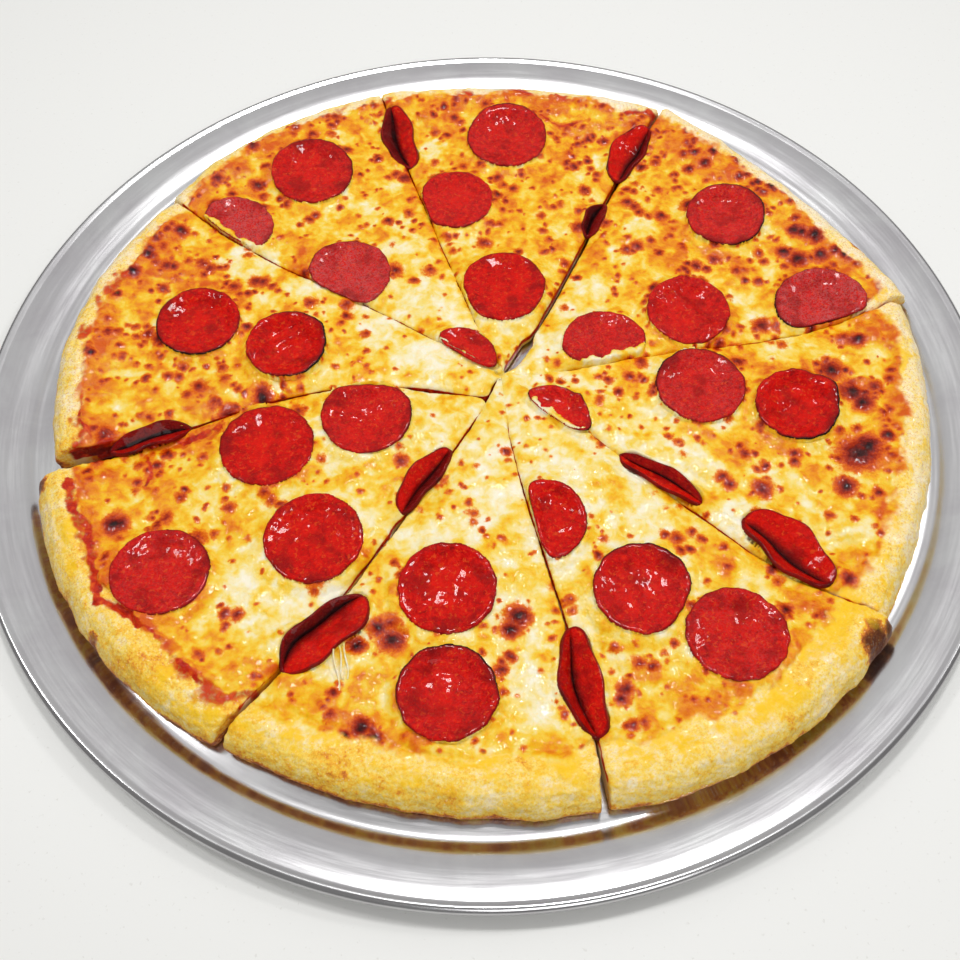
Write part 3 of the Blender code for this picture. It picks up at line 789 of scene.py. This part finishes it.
def draw_out_tip(points, disc, share, turn, tip):
    """Draw one corner of a slice of sausage out and up."""
    degrees, pull, width_degrees = tip
    gap = (turn - math.radians(degrees) + math.pi) % math.tau - math.pi
    strength = np.exp(-(gap / math.radians(width_degrees)) ** 2) * share ** 3
    points[:, :2] += (points[:, :2] - disc.middle) * (pull * strength)[:, None]
    points[:, 2] += TIP_RISE * strength


def raise_ridge(points, disc, share, ridge):
    """Raise a low ridge across a slice of sausage."""
    degrees, offset, height = ridge
    turn = math.radians(degrees)
    away = points[:, :2] - disc.middle
    gap = away @ np.array((-math.sin(turn), math.cos(turn))) - offset
    gap += 1.2 * rolling(points, 9.0, 77)
    points[:, 2] += height * np.exp(-(gap / RIDGE_WIDTH) ** 2) * step(1.0, 0.7, share)


def note_cooking(mesh, points, share, turn, cooked):
    """Keep how scorched, how dried with its painted pale sheen, and how bright a slice of sausage is at
    each point.
    """
    _, dry_and_sheen, scorch, scorch_degrees = cooked
    side = 0.5 + 0.5 * np.cos(turn - math.radians(scorch_degrees))
    burn = step(0.94, 1.0, share) * (0.2 + scorch * (0.1 + 0.75 * side))
    burn += 0.3 * step(0.7, 1.0, share) * (0.3 + scorch * side)
    glow = step(0.85, 0.35, share) * np.clip(0.5 + layered(points, 8.0, 83), 0.0, 1.0)
    dryness_and_sheen = dry_and_sheen * (0.8 + 0.4 * rolling(points, 9.0, 81))
    store(mesh, "cooking", burn, 0.0, np.clip(dryness_and_sheen, 0.0, 1.0), glow * (1.0 - dry_and_sheen))


def shape_round_sausage(item, number, rng):
    """Wrinkle and cup a flat slice of sausage, and note where it is scorched."""
    rise = COOKED[number][0]
    points = points_of(item.data)
    disc = Disc(points)
    disc.covered_degrees = COVERED.get(number)
    share, turn = disc.share(points)
    wave = rim_waves(turn, (2, 3, 5), 0.1, 0.4, rng)
    lumps = rim_waves(turn, (4, 7, 11, 17), 0.2, 0.5, rng)
    points[:, :2] += (points[:, :2] - disc.middle) * (0.018 * lumps * share ** 2)[:, None]
    rim = step(0.4, 1.0, share)
    far = 0.7 + 0.4 * np.sin(turn)
    points[:, 2] += rise * rim * (far + 0.35 * wave) - SAUSAGE_SINK
    if number in TIPS:
        draw_out_tip(points, disc, share, turn, TIPS[number])
    if number in RIDGES:
        raise_ridge(points, disc, share, RIDGES[number])
    points[:, 2] += 0.34 * layered(points, 7.0, 40 + int(number)) * (1.0 - 0.4 * rim)
    points[:, 2] += 0.09 * rolling(points, 1.7, 70)
    points[:, 2] = under_limit(points[:, 2])
    set_points(item.data, points)
    disc.remember(item.data)
    note_cooking(item.data, points, share, turn, COOKED[number])
    return disc


def make_round_sausages(material, rng):
    """All the slices of sausage that lie open on the cheese."""
    discs = []
    for number in sorted(COOKED):
        node = f"pepperoni_{number}"
        item = clean_copy(f"sausage_slice_{number}", node)
        refine(item, 2)
        remesh_evenly(item, SAUSAGE_VOXEL, 3)
        discs.append(shape_round_sausage(item, number, rng))
        finish_piece(item, material, "pepperoni", node)
    return discs


def finish_piece(item, material, slot, *nodes):
    """Give a finished piece its material and its body, and hide the solids that it stands for."""
    mesh = item.data
    mesh.materials.clear()
    mesh.materials.append(material)
    mesh.shade_smooth()
    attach(item, "root")
    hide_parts(*nodes)


def ground_height(points):
    """The pizza's finished height under a place, from its distance to the middle."""
    radius = np.hypot(points[:, 0], points[:, 1])
    return read_table(TOP_PROFILE, PIZZA_RADIUS - radius)


def fold_shape(number, along, across, ground):
    """The height of a folded slice at each point, its crease, and how much painted shade darkens its
    side.
    """
    crease, left_lip, right_lip, left_painted_shade, right_painted_shade = CREASES[number]
    width = np.sqrt(np.clip(1.0 - along ** 2, 0.0, 1.0))
    left = across > crease * width
    room = np.where(left, 1.0 - crease, 1.0 + crease) * np.maximum(width, 0.05)
    out = np.clip(np.abs(across - crease * width) / room, 0.0, 1.0)
    lip = np.where(left, left_lip, right_lip)
    bottom = ground - FOLD_DEPTH * (0.35 + 0.65 * width)
    height = bottom + (lip + FOLD_DEPTH) * width * out ** 0.8
    dark = np.where(left, left_painted_shade, right_painted_shade)
    return height, out, dark


def fold_sheet(number):
    """A flat round sheet, and where its points lie along and across it, from -1 to 1."""
    deselect()
    columns, rows = FOLD_GRID
    bpy.ops.mesh.primitive_grid_add(x_subdivisions=columns, y_subdivisions=rows, size=2.0)
    item = bpy.context.active_object
    item.name = f"sausage_fold_{number}"
    flat = points_of(item.data) * MM
    along = flat[:, 0] * np.sqrt(1.0 - flat[:, 1] ** 2 / 2)
    across = flat[:, 1] * np.sqrt(1.0 - flat[:, 0] ** 2 / 2)
    return item, along, across


def lay_fold(number, along, across, rng):
    """Where each point of a folded slice lies, how far from its crease, and how much painted shade
    darkens it.
    """
    x, y, length, width, degrees = FOLDED[number]
    turn = math.radians(degrees)
    ahead = np.array((math.cos(turn), math.sin(turn)))
    aside = np.array((-math.sin(turn), math.cos(turn)))
    bend = 0.1 * width * np.sin(2.2 * along + rng.uniform(0.0, 3.0))
    bend += 0.05 * width * across * np.sin(6.0 * along + rng.uniform(0.0, 6.0))
    place = np.zeros((len(along), 3))
    place[:, :2] = np.array((x, y)) + np.outer(along * length / 2, ahead)
    place[:, :2] += np.outer(across * width / 2 + bend, aside)
    height, out, dark = fold_shape(number, along, across, ground_height(place))
    uneven = 0.4 * layered(place, 6.0, 60 + int(number))
    place[:, 2] = under_limit(height + uneven - FOLD_SINK)
    return place, out, dark


def make_folded_sausages(material, rng):
    """The slices of sausage that the cutter pushed down into the cuts."""
    discs = []
    for number in sorted(FOLDED):
        item, along, across = fold_sheet(number)
        place, out, dark = lay_fold(number, along, across, rng)
        set_points(item.data, place)
        edge = step(0.9, 1.0, np.hypot(along, across))
        # Painted shade in the crease and on the shaded side; the last value kept paints the other, lit
        # side brighter red
        crease_shade = step(0.4, 0.0, out) * step(1.0, 0.75, np.abs(along))
        shade = np.clip(crease_shade + dark * (1.0 - 0.2 * out), 0.0, 1.0) * (1.0 - 0.35 * edge)
        store(item.data, "cooking", 0.62 * edge, shade, 0.0, 0.5 * (1.0 - dark))
        thick = item.modifiers.new("thickness", "SOLIDIFY")
        thick.thickness = FOLD_THICKNESS * MM
        thick.offset = 0.0
        refine(item, 1)
        disc = Disc(points_of(item.data))
        disc.remember(item.data)
        discs.append(disc)
        finish_piece(item, material, "pepperoni", f"pepperoni_{number}")
    return discs


def slice_solid(number):
    """The dough and cheese of one slice as one even, rounded mesh without its underside."""
    dough = clean_copy(f"pizza_slice_{number}", f"dough_{number}")
    cheese = clean_copy(f"cheese_part_{number}", f"cheese_{number}")
    lower = normals_of(cheese.data)[:, 2] < 0.0
    points = points_of(cheese.data)
    points[lower, 2] -= CHEESE_SINK
    set_points(cheese.data, points)
    deselect()
    cheese.select_set(True)
    dough.select_set(True)
    bpy.context.view_layer.objects.active = dough
    bpy.ops.object.join()
    remesh_evenly(dough, SLICE_VOXEL, 5)
    open_underside(dough)
    refine(dough, SLICE_DETAIL)
    return dough


def open_underside(item):
    """Take the flat underside off, so that it needs no fine mesh."""
    for face in item.data.polygons:
        face.select = face.normal.z < -0.8 and face.center.z < UNDERSIDE_ZONE * MM
    make_active(item)
    bpy.ops.object.mode_set(mode="EDIT")
    bpy.ops.mesh.delete(type="FACE")
    bpy.ops.object.mode_set(mode="OBJECT")


def close_underside(item):
    """Close the underside again with one flat face."""
    make_active(item)
    bpy.ops.object.mode_set(mode="EDIT")
    bpy.ops.mesh.select_mode(type="EDGE")
    bpy.ops.mesh.select_all(action="DESELECT")
    bpy.ops.mesh.select_non_manifold(extend=False)
    bpy.ops.mesh.edge_face_add()
    bpy.ops.mesh.select_all(action="SELECT")
    bpy.ops.mesh.normals_make_consistent(inside=False)
    bpy.ops.object.mode_set(mode="OBJECT")


def edge_depth(points):
    """How far in from the crust's edge each point of a slice lies."""
    middle = points[:, :2].mean(axis=0)
    facing = math.atan2(middle[1], middle[0])
    turn = np.arctan2(points[:, 1], points[:, 0]) - facing
    turn = (turn + math.pi) % math.tau - math.pi
    radius = np.hypot(points[:, 0], points[:, 1])
    outer = radius > CRUST_ZONE
    low, high = turn[outer].min(), turn[outer].max()
    cell = np.clip(((turn - low) / (high - low) * EDGE_BINS).astype(int), 0, EDGE_BINS - 1)
    reach = np.zeros(EDGE_BINS)
    np.maximum.at(reach, cell[outer], radius[outer])
    padded = np.concatenate((reach[:1], reach[:1], reach, reach[-1:], reach[-1:]))
    reach = np.convolve(padded, np.ones(5) / 5, mode="valid")
    centres = low + (np.arange(EDGE_BINS) + 0.5) / EDGE_BINS * (high - low)
    return np.interp(turn, centres, reach) - radius


def nearest_side(spots, facings, points):
    """How far each point lies from a slice's cut sides, in plan, and which way they face there."""
    tree = kdtree.KDTree(len(spots))
    for index, (x, y) in enumerate(spots):
        tree.insert((x, y, 0.0), index)
    tree.balance()
    gaps = np.empty(len(points))
    outward = np.zeros((len(points), 2))
    for row, (x, y) in enumerate(points):
        gaps[row] = tree.find((x, y, 0.0))[2]
        if gaps[row] < CUT_ZONE:
            for _, index, _ in tree.find_n((x, y, 0.0), 4):
                outward[row] += facings[index]
    return gaps, outward / np.maximum(np.linalg.norm(outward, axis=1), 0.001)[:, None]


def compass(points):
    """The direction of each point from the pan's middle, in degrees."""
    return np.degrees(np.arctan2(points[:, 1], points[:, 0])) % 360.0


def baked_level(points):
    """How well baked the pizza is at each point, 0 to 1."""
    radius = np.hypot(points[:, 0], points[:, 1])
    return read_table(BAKED, compass(points)) * (0.35 + 0.65 * step(20.0, 110.0, radius))


def scatter_blisters(points, rng):
    """Places, sizes and browning of a slice's blisters, some of them in small groups."""
    low = points[:, :2].min(axis=0)
    high = points[:, :2].max(axis=0)
    area = (high[0] - low[0]) * (high[1] - low[1])
    spots = rng.uniform(low, high, (int(area / BLISTER_AREA), 2))
    spots = spots[rng.uniform(0.0, 1.0, len(spots)) < 0.2 + 0.6 * baked_level(spots) ** 1.2]
    joined = spots[rng.uniform(0.0, 1.0, len(spots)) < 0.5]
    turns = rng.uniform(0.0, math.tau, len(joined))
    away = rng.uniform(3.0, 4.8, len(joined))
    spots = np.vstack((spots, joined + np.column_stack((np.cos(turns) * away, np.sin(turns) * away))))
    strong = len(spots)
    faint = rng.uniform(low, high, (int(area / FAINT_SPOT_AREA), 2))
    faint = faint[rng.uniform(0.0, 1.0, len(faint)) < 0.4 + 0.4 * baked_level(faint)]
    spots = np.vstack((spots, faint))
    level = baked_level(spots)
    pale = np.zeros(len(spots))
    for x, y, radius in CREAM:
        pale = np.maximum(pale, step(1.1, 0.6, np.hypot(spots[:, 0] - x, spots[:, 1] - y) / radius))
    radii = rng.gamma(7.0, 0.2, len(spots)) * (0.75 + 0.3 * level) + 0.5
    dark = rng.normal(-0.3, 0.2, len(spots)) + 0.25 * (level - 0.7) - 0.3 * pale
    radii[strong:] *= 0.8
    dark[strong:] -= 0.42
    keep = rng.uniform(0.0, 1.0, len(spots)) > 0.75 * pale
    return list(zip(spots[keep, 0], spots[keep, 1], radii[keep], dark[keep]))


def blister_field(points, warped, blisters):
    """How strongly the nearest blister browns each point, and how far it lifts it."""
    brown = np.full(len(points), -1.5)
    lift = np.zeros(len(points))
    for x, y, radius, dark in blisters:
        reach = radius * 2.6
        near = (np.abs(points[:, 0] - x) < reach) & (np.abs(points[:, 1] - y) < reach)
        index = np.flatnonzero(near)
        away = np.hypot(warped[index, 0] - x, warped[index, 1] - y) / radius
        brown[index] = np.maximum(brown[index], 1.0 - away + dark)
        dome = np.clip(1.0 - away ** 2, 0.0, 1.0)
        lift[index] = np.maximum(lift[index], dome * (0.1 + 0.13 * radius))
    return brown, lift


def near_line(points, line):
    """How far each point lies from a line of straight runs, in plan."""
    nearest = np.full(len(points), 1000.0)
    for start, end in zip(line, line[1:]):
        start = np.array(start, float)
        run = np.array(end, float) - start
        away = points[:, :2] - start
        share = np.clip(away @ run / (run @ run), 0.0, 1.0)
        gap = away - np.outer(share, run)
        nearest = np.minimum(nearest, np.hypot(gap[:, 0], gap[:, 1]))
    return nearest


def past_covered_edge(disc, points, ragged):
    """How far each point lies past the line that cheese has run up to, or 0 where none has."""
    if disc.covered_degrees is None:
        return np.zeros(len(points))
    facing = math.radians(disc.covered_degrees)
    reach = (points[:, :2] - disc.middle) @ np.array((math.cos(facing), math.sin(facing)))
    edge = np.interp(facing, disc.turns, disc.reach, period=math.tau)
    return reach - edge + COVERED_WIDTH + ragged


def under_sausage(points, discs):
    """What the slices of sausage do to each point of the cheese.

    It gives how far the point lies under one, how close beside one, the height that it has to stay
    under, the height that it has to reach, and how far it covers one.
    """
    under = np.zeros(len(points))
    beside = np.zeros(len(points))
    limit = np.full(len(points), 100.0)
    floor = np.zeros(len(points))
    cover = np.zeros(len(points))
    ragged = 2.4 * rolling(points, 5.5, 87) + 1.0 * rolling(points, 2.0, 88)
    for disc in discs:
        near = np.flatnonzero(np.hypot(*(points[:, :2] - disc.middle).T) < SAUSAGE_REACH)
        if not len(near):
            continue
        share, _ = disc.share(points[near])
        under[near] = np.maximum(under[near], step(1.02, 0.9, share))
        beside[near] = np.maximum(beside[near], step(1.34, 1.02, share) * step(0.9, 1.0, share))
        over = past_covered_edge(disc, points[near], ragged[near])
        rise = step(0.86, 0.97, share)
        for place in np.flatnonzero(share < 1.05):
            index = near[place]
            x, y = points[index, :2]
            height = disc.underside(x, y)
            if height is None:
                continue
            if over[place] > 0.0:
                floor[index] = disc.top(x, y) + 0.05 + 0.4 * min(1.0, 0.6 * over[place])
                cover[index] = min(1.0, over[place])
                continue
            limit[index] = min(limit[index], height - 0.25 + 1.0 * rise[place])
            if rise[place] > 0.3:
                floor[index] = height - 0.3 + 0.8 * rise[place]
    return under, beside, limit, floor, cover


def close_cuts(points, number, to_cut, outward):
    """Moves that bring the two sides of each cut together, except where it stays open."""
    radius = np.maximum(np.hypot(points[:, 0], points[:, 1]), 1.0)
    along = np.column_stack((-points[:, 1], points[:, 0])) / radius[:, None]
    middle = points[:, :2].mean(axis=0)
    side = np.sign(along @ -middle)
    inward = np.array(CUT_CENTRE) - points[:, :2]
    to_centre = np.hypot(inward[:, 0], inward[:, 1])
    shut = 0.8 + 0.35 * layered(points, 9.0, 91) + 0.9 * step(30.0, 10.0, to_centre)
    for x, y, reach, strength in OPEN_CUTS:
        away = np.hypot(points[:, 0] - x, points[:, 1] - y)
        shut -= strength * step(reach, 0.4 * reach, away)
    move = CUT_CLOSING * np.clip(shut, -1.6, 1.9) * step(CUT_ZONE, 0.5, to_cut)
    if number in WIDE_CUT_SIDES:
        wide = (side == WIDE_CUT_SIDES[number]) * step(136.0, 112.0, radius) * step(14.0, 60.0, radius)
        move += wide * (0.2 + 0.014 * radius) * step(9.0, 0.5, to_cut)
    pull = np.minimum(2.4 * step(13.0, 3.0, to_centre), 0.8 * to_centre) / np.maximum(to_centre, 0.1)
    return outward * move[:, None] + inward * pull[:, None]


class PizzaSlice:
    """One slice's points, and what is worked out at each of them."""

    def __init__(self, mesh, number, rng):
        points = points_of(mesh)
        self.mesh = mesh
        self.number = number
        self.points = points
        self.normals = normals_of(mesh)
        self.depth = edge_depth(points)
        self.upward = step(0.35, 0.75, self.normals[:, 2])
        self.level = baked_level(points)
        self.low_waves = layered(points, 12.0, 31)
        self.fine_waves = layered(points, 4.5, 35)
        self.warped = points.copy()
        self.warped[:, 0] += 0.9 * rolling(points, 4.2, 5) + 0.25 * rolling(points, 1.6, 7)
        self.warped[:, 1] += 0.9 * rolling(points, 4.2, 6) + 0.25 * rolling(points, 1.6, 8)
        edge = BARE_CRUST[number] + 3.5 * rolling(points, 18.0, 21) + 2.6 * rolling(points, 6.0, 22)
        self.past_edge = self.depth - edge
        self.cheese = step(-1.6, 1.6, self.past_edge + 1.2 * rolling(points, 2.0, 23))
        self.find_blisters(rng)
        self.pale = np.zeros(len(points))
        for x, y, radius in CREAM:
            away = self.away_from(x, y, radius) + 0.35 * self.fine_waves
            self.pale = np.maximum(self.pale, step(1.25, 0.5, away))
        self.streaks = [(width, near_line(self.warped, line) + 1.3 * self.fine_waves)
                        for width, line in SAUCE_STREAKS]

    def away_from(self, x, y, radius):
        """The distance from an uneven spot, 1 at its edge."""
        return np.hypot(self.warped[:, 0] - x, self.warped[:, 1] - y) / radius

    def find_blisters(self, rng):
        """How brown and how raised the blisters and the scorched spots are."""
        blisters = scatter_blisters(self.points, rng)
        brown, lift = blister_field(self.points, self.warped, blisters)
        scorched = [(x, y, 0.85 * radius, 0.1 + 0.35 * dark) for x, y, radius, dark in SCORCHED]
        self.scorch, blob = blister_field(self.points, self.warped, scorched)
        self.brown = np.maximum(brown, self.scorch)
        self.lift = np.maximum(lift, blob)

    def relief(self, under, beside):
        """How far the cheese and the crust stand out at each point."""
        points, cheese = self.points, self.cheese
        relief = cheese * (0.5 * self.low_waves + 0.34 * self.fine_waves + self.lift + 0.4 * self.pale)
        relief += cheese * 0.09 * rolling(points, 1.5, 44)
        bare = 1.0 - cheese
        relief += bare * (0.8 * rolling(points, 14.0, 51) + 0.35 * rolling(points, 6.0, 53))
        relief += bare * 0.2 * layered(points, 2.2, 52)
        relief += 0.5 * cheese * step(6.0, 0.0, self.past_edge)
        return relief * (1.0 - under) + 1.15 * beside * cheese - 0.4 * under

    def shape(self, discs):
        """Raise the relief, close the cuts and fit the cheese round the sausage.

        It gives how far the cheese covers a slice of sausage at each point.
        """
        points, normals = self.points, self.normals
        sides = (np.abs(normals[:, 2]) < 0.5) & (self.depth > 7.0)
        facings = normals[sides][::3, :2]
        to_cut, outward = nearest_side(points[sides][::3, :2], facings, points[:, :2])
        under, beside, limit, floor, cover = under_sausage(points, discs)
        on_top = self.upward * step(-1.0, 2.0, to_cut)
        on_crust = step(9.0, 5.0, self.depth) * step(2.5, 4.5, points[:, 2])
        relief = self.relief(under, beside) * np.maximum(on_top, on_crust)
        closing = close_cuts(points, self.number, to_cut, outward)
        points += normals * relief[:, None]
        points[:, :2] += closing
        height = under_limit(points[:, 2])
        height = np.maximum(np.minimum(height, limit), np.minimum(height, LOWEST_CHEESE))
        lifted = under_limit(np.maximum(height, floor))
        points[:, 2] = np.where((floor > 0.0) & (self.upward > 0.5), lifted, height)
        set_points(self.mesh, points)
        return cover

    def oil(self, cover):
        """How oily the cheese is, from cream to deep gold."""
        near_edge = step(20.0, 2.0, self.past_edge) * self.cheese
        halo = step(-1.0, 0.1, self.brown)
        oil = 0.44 + 0.34 * self.low_waves + 0.1 * self.fine_waves
        oil = oil + 0.34 * (self.level - 0.5) + 0.27 * near_edge
        oil = (oil + 0.16 * halo) * (1.0 - 0.52 * self.pale)
        for width, streak in self.streaks:
            oil = np.maximum(oil, 0.95 * step(3.4 * width, width, streak) * self.cheese)
        return oil * (1.0 - 0.4 * cover)

    def sauce(self, line):
        """Where the sauce shows: along the crust, in streaks and in its line on the cut sides."""
        shows = SAUCE_SHOWS[self.number]
        band = step(-6.0, -1.0, self.past_edge) * step(4.0, 0.0, self.past_edge)
        patches = step(-0.1, 0.4, layered(self.points, 13.0, 61) + shows - 0.6)
        sauce = np.maximum(band * patches * min(1.0, 1.4 * shows), line)
        for width, streak in self.streaks:
            strength = 0.75 + 0.7 * self.low_waves
            sauce = np.maximum(sauce, step(width, 0.2 * width, streak) * strength)
        return np.clip(sauce, 0.0, 1.0)

    def crust(self, foot, line):
        """How golden and how scorched the crust is."""
        gold = 0.4 - 0.36 * (self.level - 0.5) + 0.16 * layered(self.points, 16.0, 66) + 0.32 * foot
        gold = gold + read_table(TOASTED, compass(self.points))
        char = np.clip(step(0.95, 1.35, self.scorch + 0.25 * self.fine_waves), 0.0, 1.0) * 0.85
        # On the slice beside the wide cut, the sauce line on its cut side is darkened further with the
        # scorched colour where it faces into the gap
        if self.number == DARK_CUT_SLICE:
            char = np.maximum(char, 0.6 * line * step(-0.3, 0.4, self.fine_waves))
        for x, y, radius, dark in CRUST_SCORCHED:
            away = self.away_from(x, y, radius) + 0.3 * self.fine_waves
            char = np.maximum(char, dark * step(1.0, 0.45, away))
            gold = np.maximum(gold, 0.9 * step(1.5, 0.8, away))
        return gold, char

    def keep(self, cover):
        """Keep what covers the slice at each point for its material."""
        points, depth, level = self.points, self.depth, self.level
        below = read_table(TOP_PROFILE, depth) - points[:, 2]
        side = (1.0 - self.upward) * step(6.0, 9.0, depth)
        deeper = DARK_CUT_DEEPER if self.number == DARK_CUT_SLICE else 0.0
        line = side * step(1.4, 2.2, below) * step(4.6 + deeper, 3.4 + deeper, below)
        crumb = side * step(3.0, 4.2, below)
        brown = np.clip(0.5 + 0.42 * self.brown, 0.0, 1.0)
        brown = brown * step(0.1, 0.8, self.cheese) * (1.0 - cover)
        foot = step(8.2, 6.2, points[:, 2] + 0.5 * self.fine_waves) * step(6.0, 3.0, depth)
        gold, char = self.crust(foot, line)
        grease = step(-0.15, 0.45, layered(points, 11.0, 71) + 0.9 * (0.55 - level))
        wet = 0.85 * grease * step(-22.0, -2.0, self.past_edge) * (1.0 - foot)
        store(self.mesh, "topping", brown, self.oil(cover), self.sauce(line), self.cheese)
        store(self.mesh, "baking", gold, char, wet, crumb)
        store(self.mesh, "patches", 0.05 + 0.6 * level, 0.0, 0.0, 0.0)


def make_slices(material, discs, rng):
    """All eight slices."""
    for number in range(1, 9):
        item = slice_solid(number)
        pizza_slice = PizzaSlice(item.data, number, rng)
        pizza_slice.keep(pizza_slice.shape(discs))
        close_underside(item)
        finish_piece(item, material, "cheese", f"dough_{number}", f"cheese_{number}")


def cheese_thread(index, line):
    """One thread of cheese, as a round curve."""
    curve = bpy.data.curves.new(f"thread_{index}", "CURVE")
    curve.dimensions = "3D"
    curve.bevel_depth = STRING_RADIUS * MM
    curve.bevel_resolution = 3
    run = curve.splines.new("NURBS")
    run.points.add(len(line) - 1)
    run.use_endpoint_u = True
    for point, (x, y, z) in zip(run.points, line):
        point.co = (x * MM, y * MM, z * MM, 1.0)
    return add_object(f"thread_{index}", curve)


def make_strings(material):
    """Threads of cheese pulled out of a cut."""
    pieces = [cheese_thread(index, line) for index, line in enumerate(STRINGS)]
    deselect()
    for item in pieces:
        item.select_set(True)
    bpy.context.view_layer.objects.active = pieces[0]
    bpy.ops.object.convert(target="MESH")
    bpy.ops.object.join()
    threads = bpy.context.view_layer.objects.active
    threads.name = "cheese_threads"
    store(threads.data, "topping", 0.0, 0.2, 0.0, 1.0)
    threads.data.materials.clear()
    threads.data.materials.append(material)
    threads.data.shade_smooth()
    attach(threads, "root")


def area_light(name, place, size, power):
    """A soft rectangular light aimed at the middle of the pizza."""
    light = bpy.data.lights.new(name, "AREA")
    light.shape = "RECTANGLE"
    light.size, light.size_y = size
    light.energy = power
    item = add_object(name, light)
    item.location = place
    item.rotation_euler = (-Vector(place)).to_track_quat("-Z", "Y").to_euler()


def make_stage():
    """Pale worktop, soft lights and a bright room."""
    deselect()
    bpy.ops.mesh.primitive_plane_add(size=WORKTOP_SIZE, location=(0, 0, WORKTOP_HEIGHT))
    floor = bpy.context.active_object
    floor.name = "worktop"
    floor.data.materials.append(table_material())
    for name, (place, size, power) in LIGHTS.items():
        area_light(name, place, size, power)
    world = bpy.data.worlds.new("room")
    bpy.context.scene.world = world
    world.use_nodes = True
    background = world.node_tree.nodes["Background"]
    background.inputs["Color"].default_value = ROOM_TINT
    background.inputs["Strength"].default_value = ROOM_STRENGTH
    bpy.context.scene.view_settings.view_transform = "Standard"


def make_camera():
    """A camera at the photograph's viewing angle."""
    elevation = math.radians(CAMERA_ELEVATION)
    roll = math.radians(CAMERA_ROLL)
    target = Vector(CAMERA_TARGET) * MM
    back = Vector((0.0, -math.cos(elevation), math.sin(elevation)))
    level = Vector((0.0, 0.0, 1.0)).cross(back).normalized()
    upright = back.cross(level)
    right = math.cos(roll) * level + math.sin(roll) * upright
    upward = back.cross(right)
    lens = bpy.data.cameras.new("camera")
    lens.sensor_width = CAMERA_SENSOR
    lens.lens = CAMERA_LENS
    item = add_object("camera", lens)
    turned = Matrix((right, upward, back)).transposed().to_4x4()
    item.matrix_world = Matrix.Translation(target + back * (CAMERA_DISTANCE * MM)) @ turned
    bpy.context.scene.camera = item


def main():
    rng = np.random.default_rng(12)
    make_camera()
    make_stage()
    finish_piece(make_pan(), pan_material(), "pan", "pan")
    sausage = sausage_material()
    discs = make_round_sausages(sausage, rng)
    discs += make_folded_sausages(sausage, rng)
    baked = baked_pizza_material()
    make_slices(baked, discs, rng)
    make_strings(baked)


main()
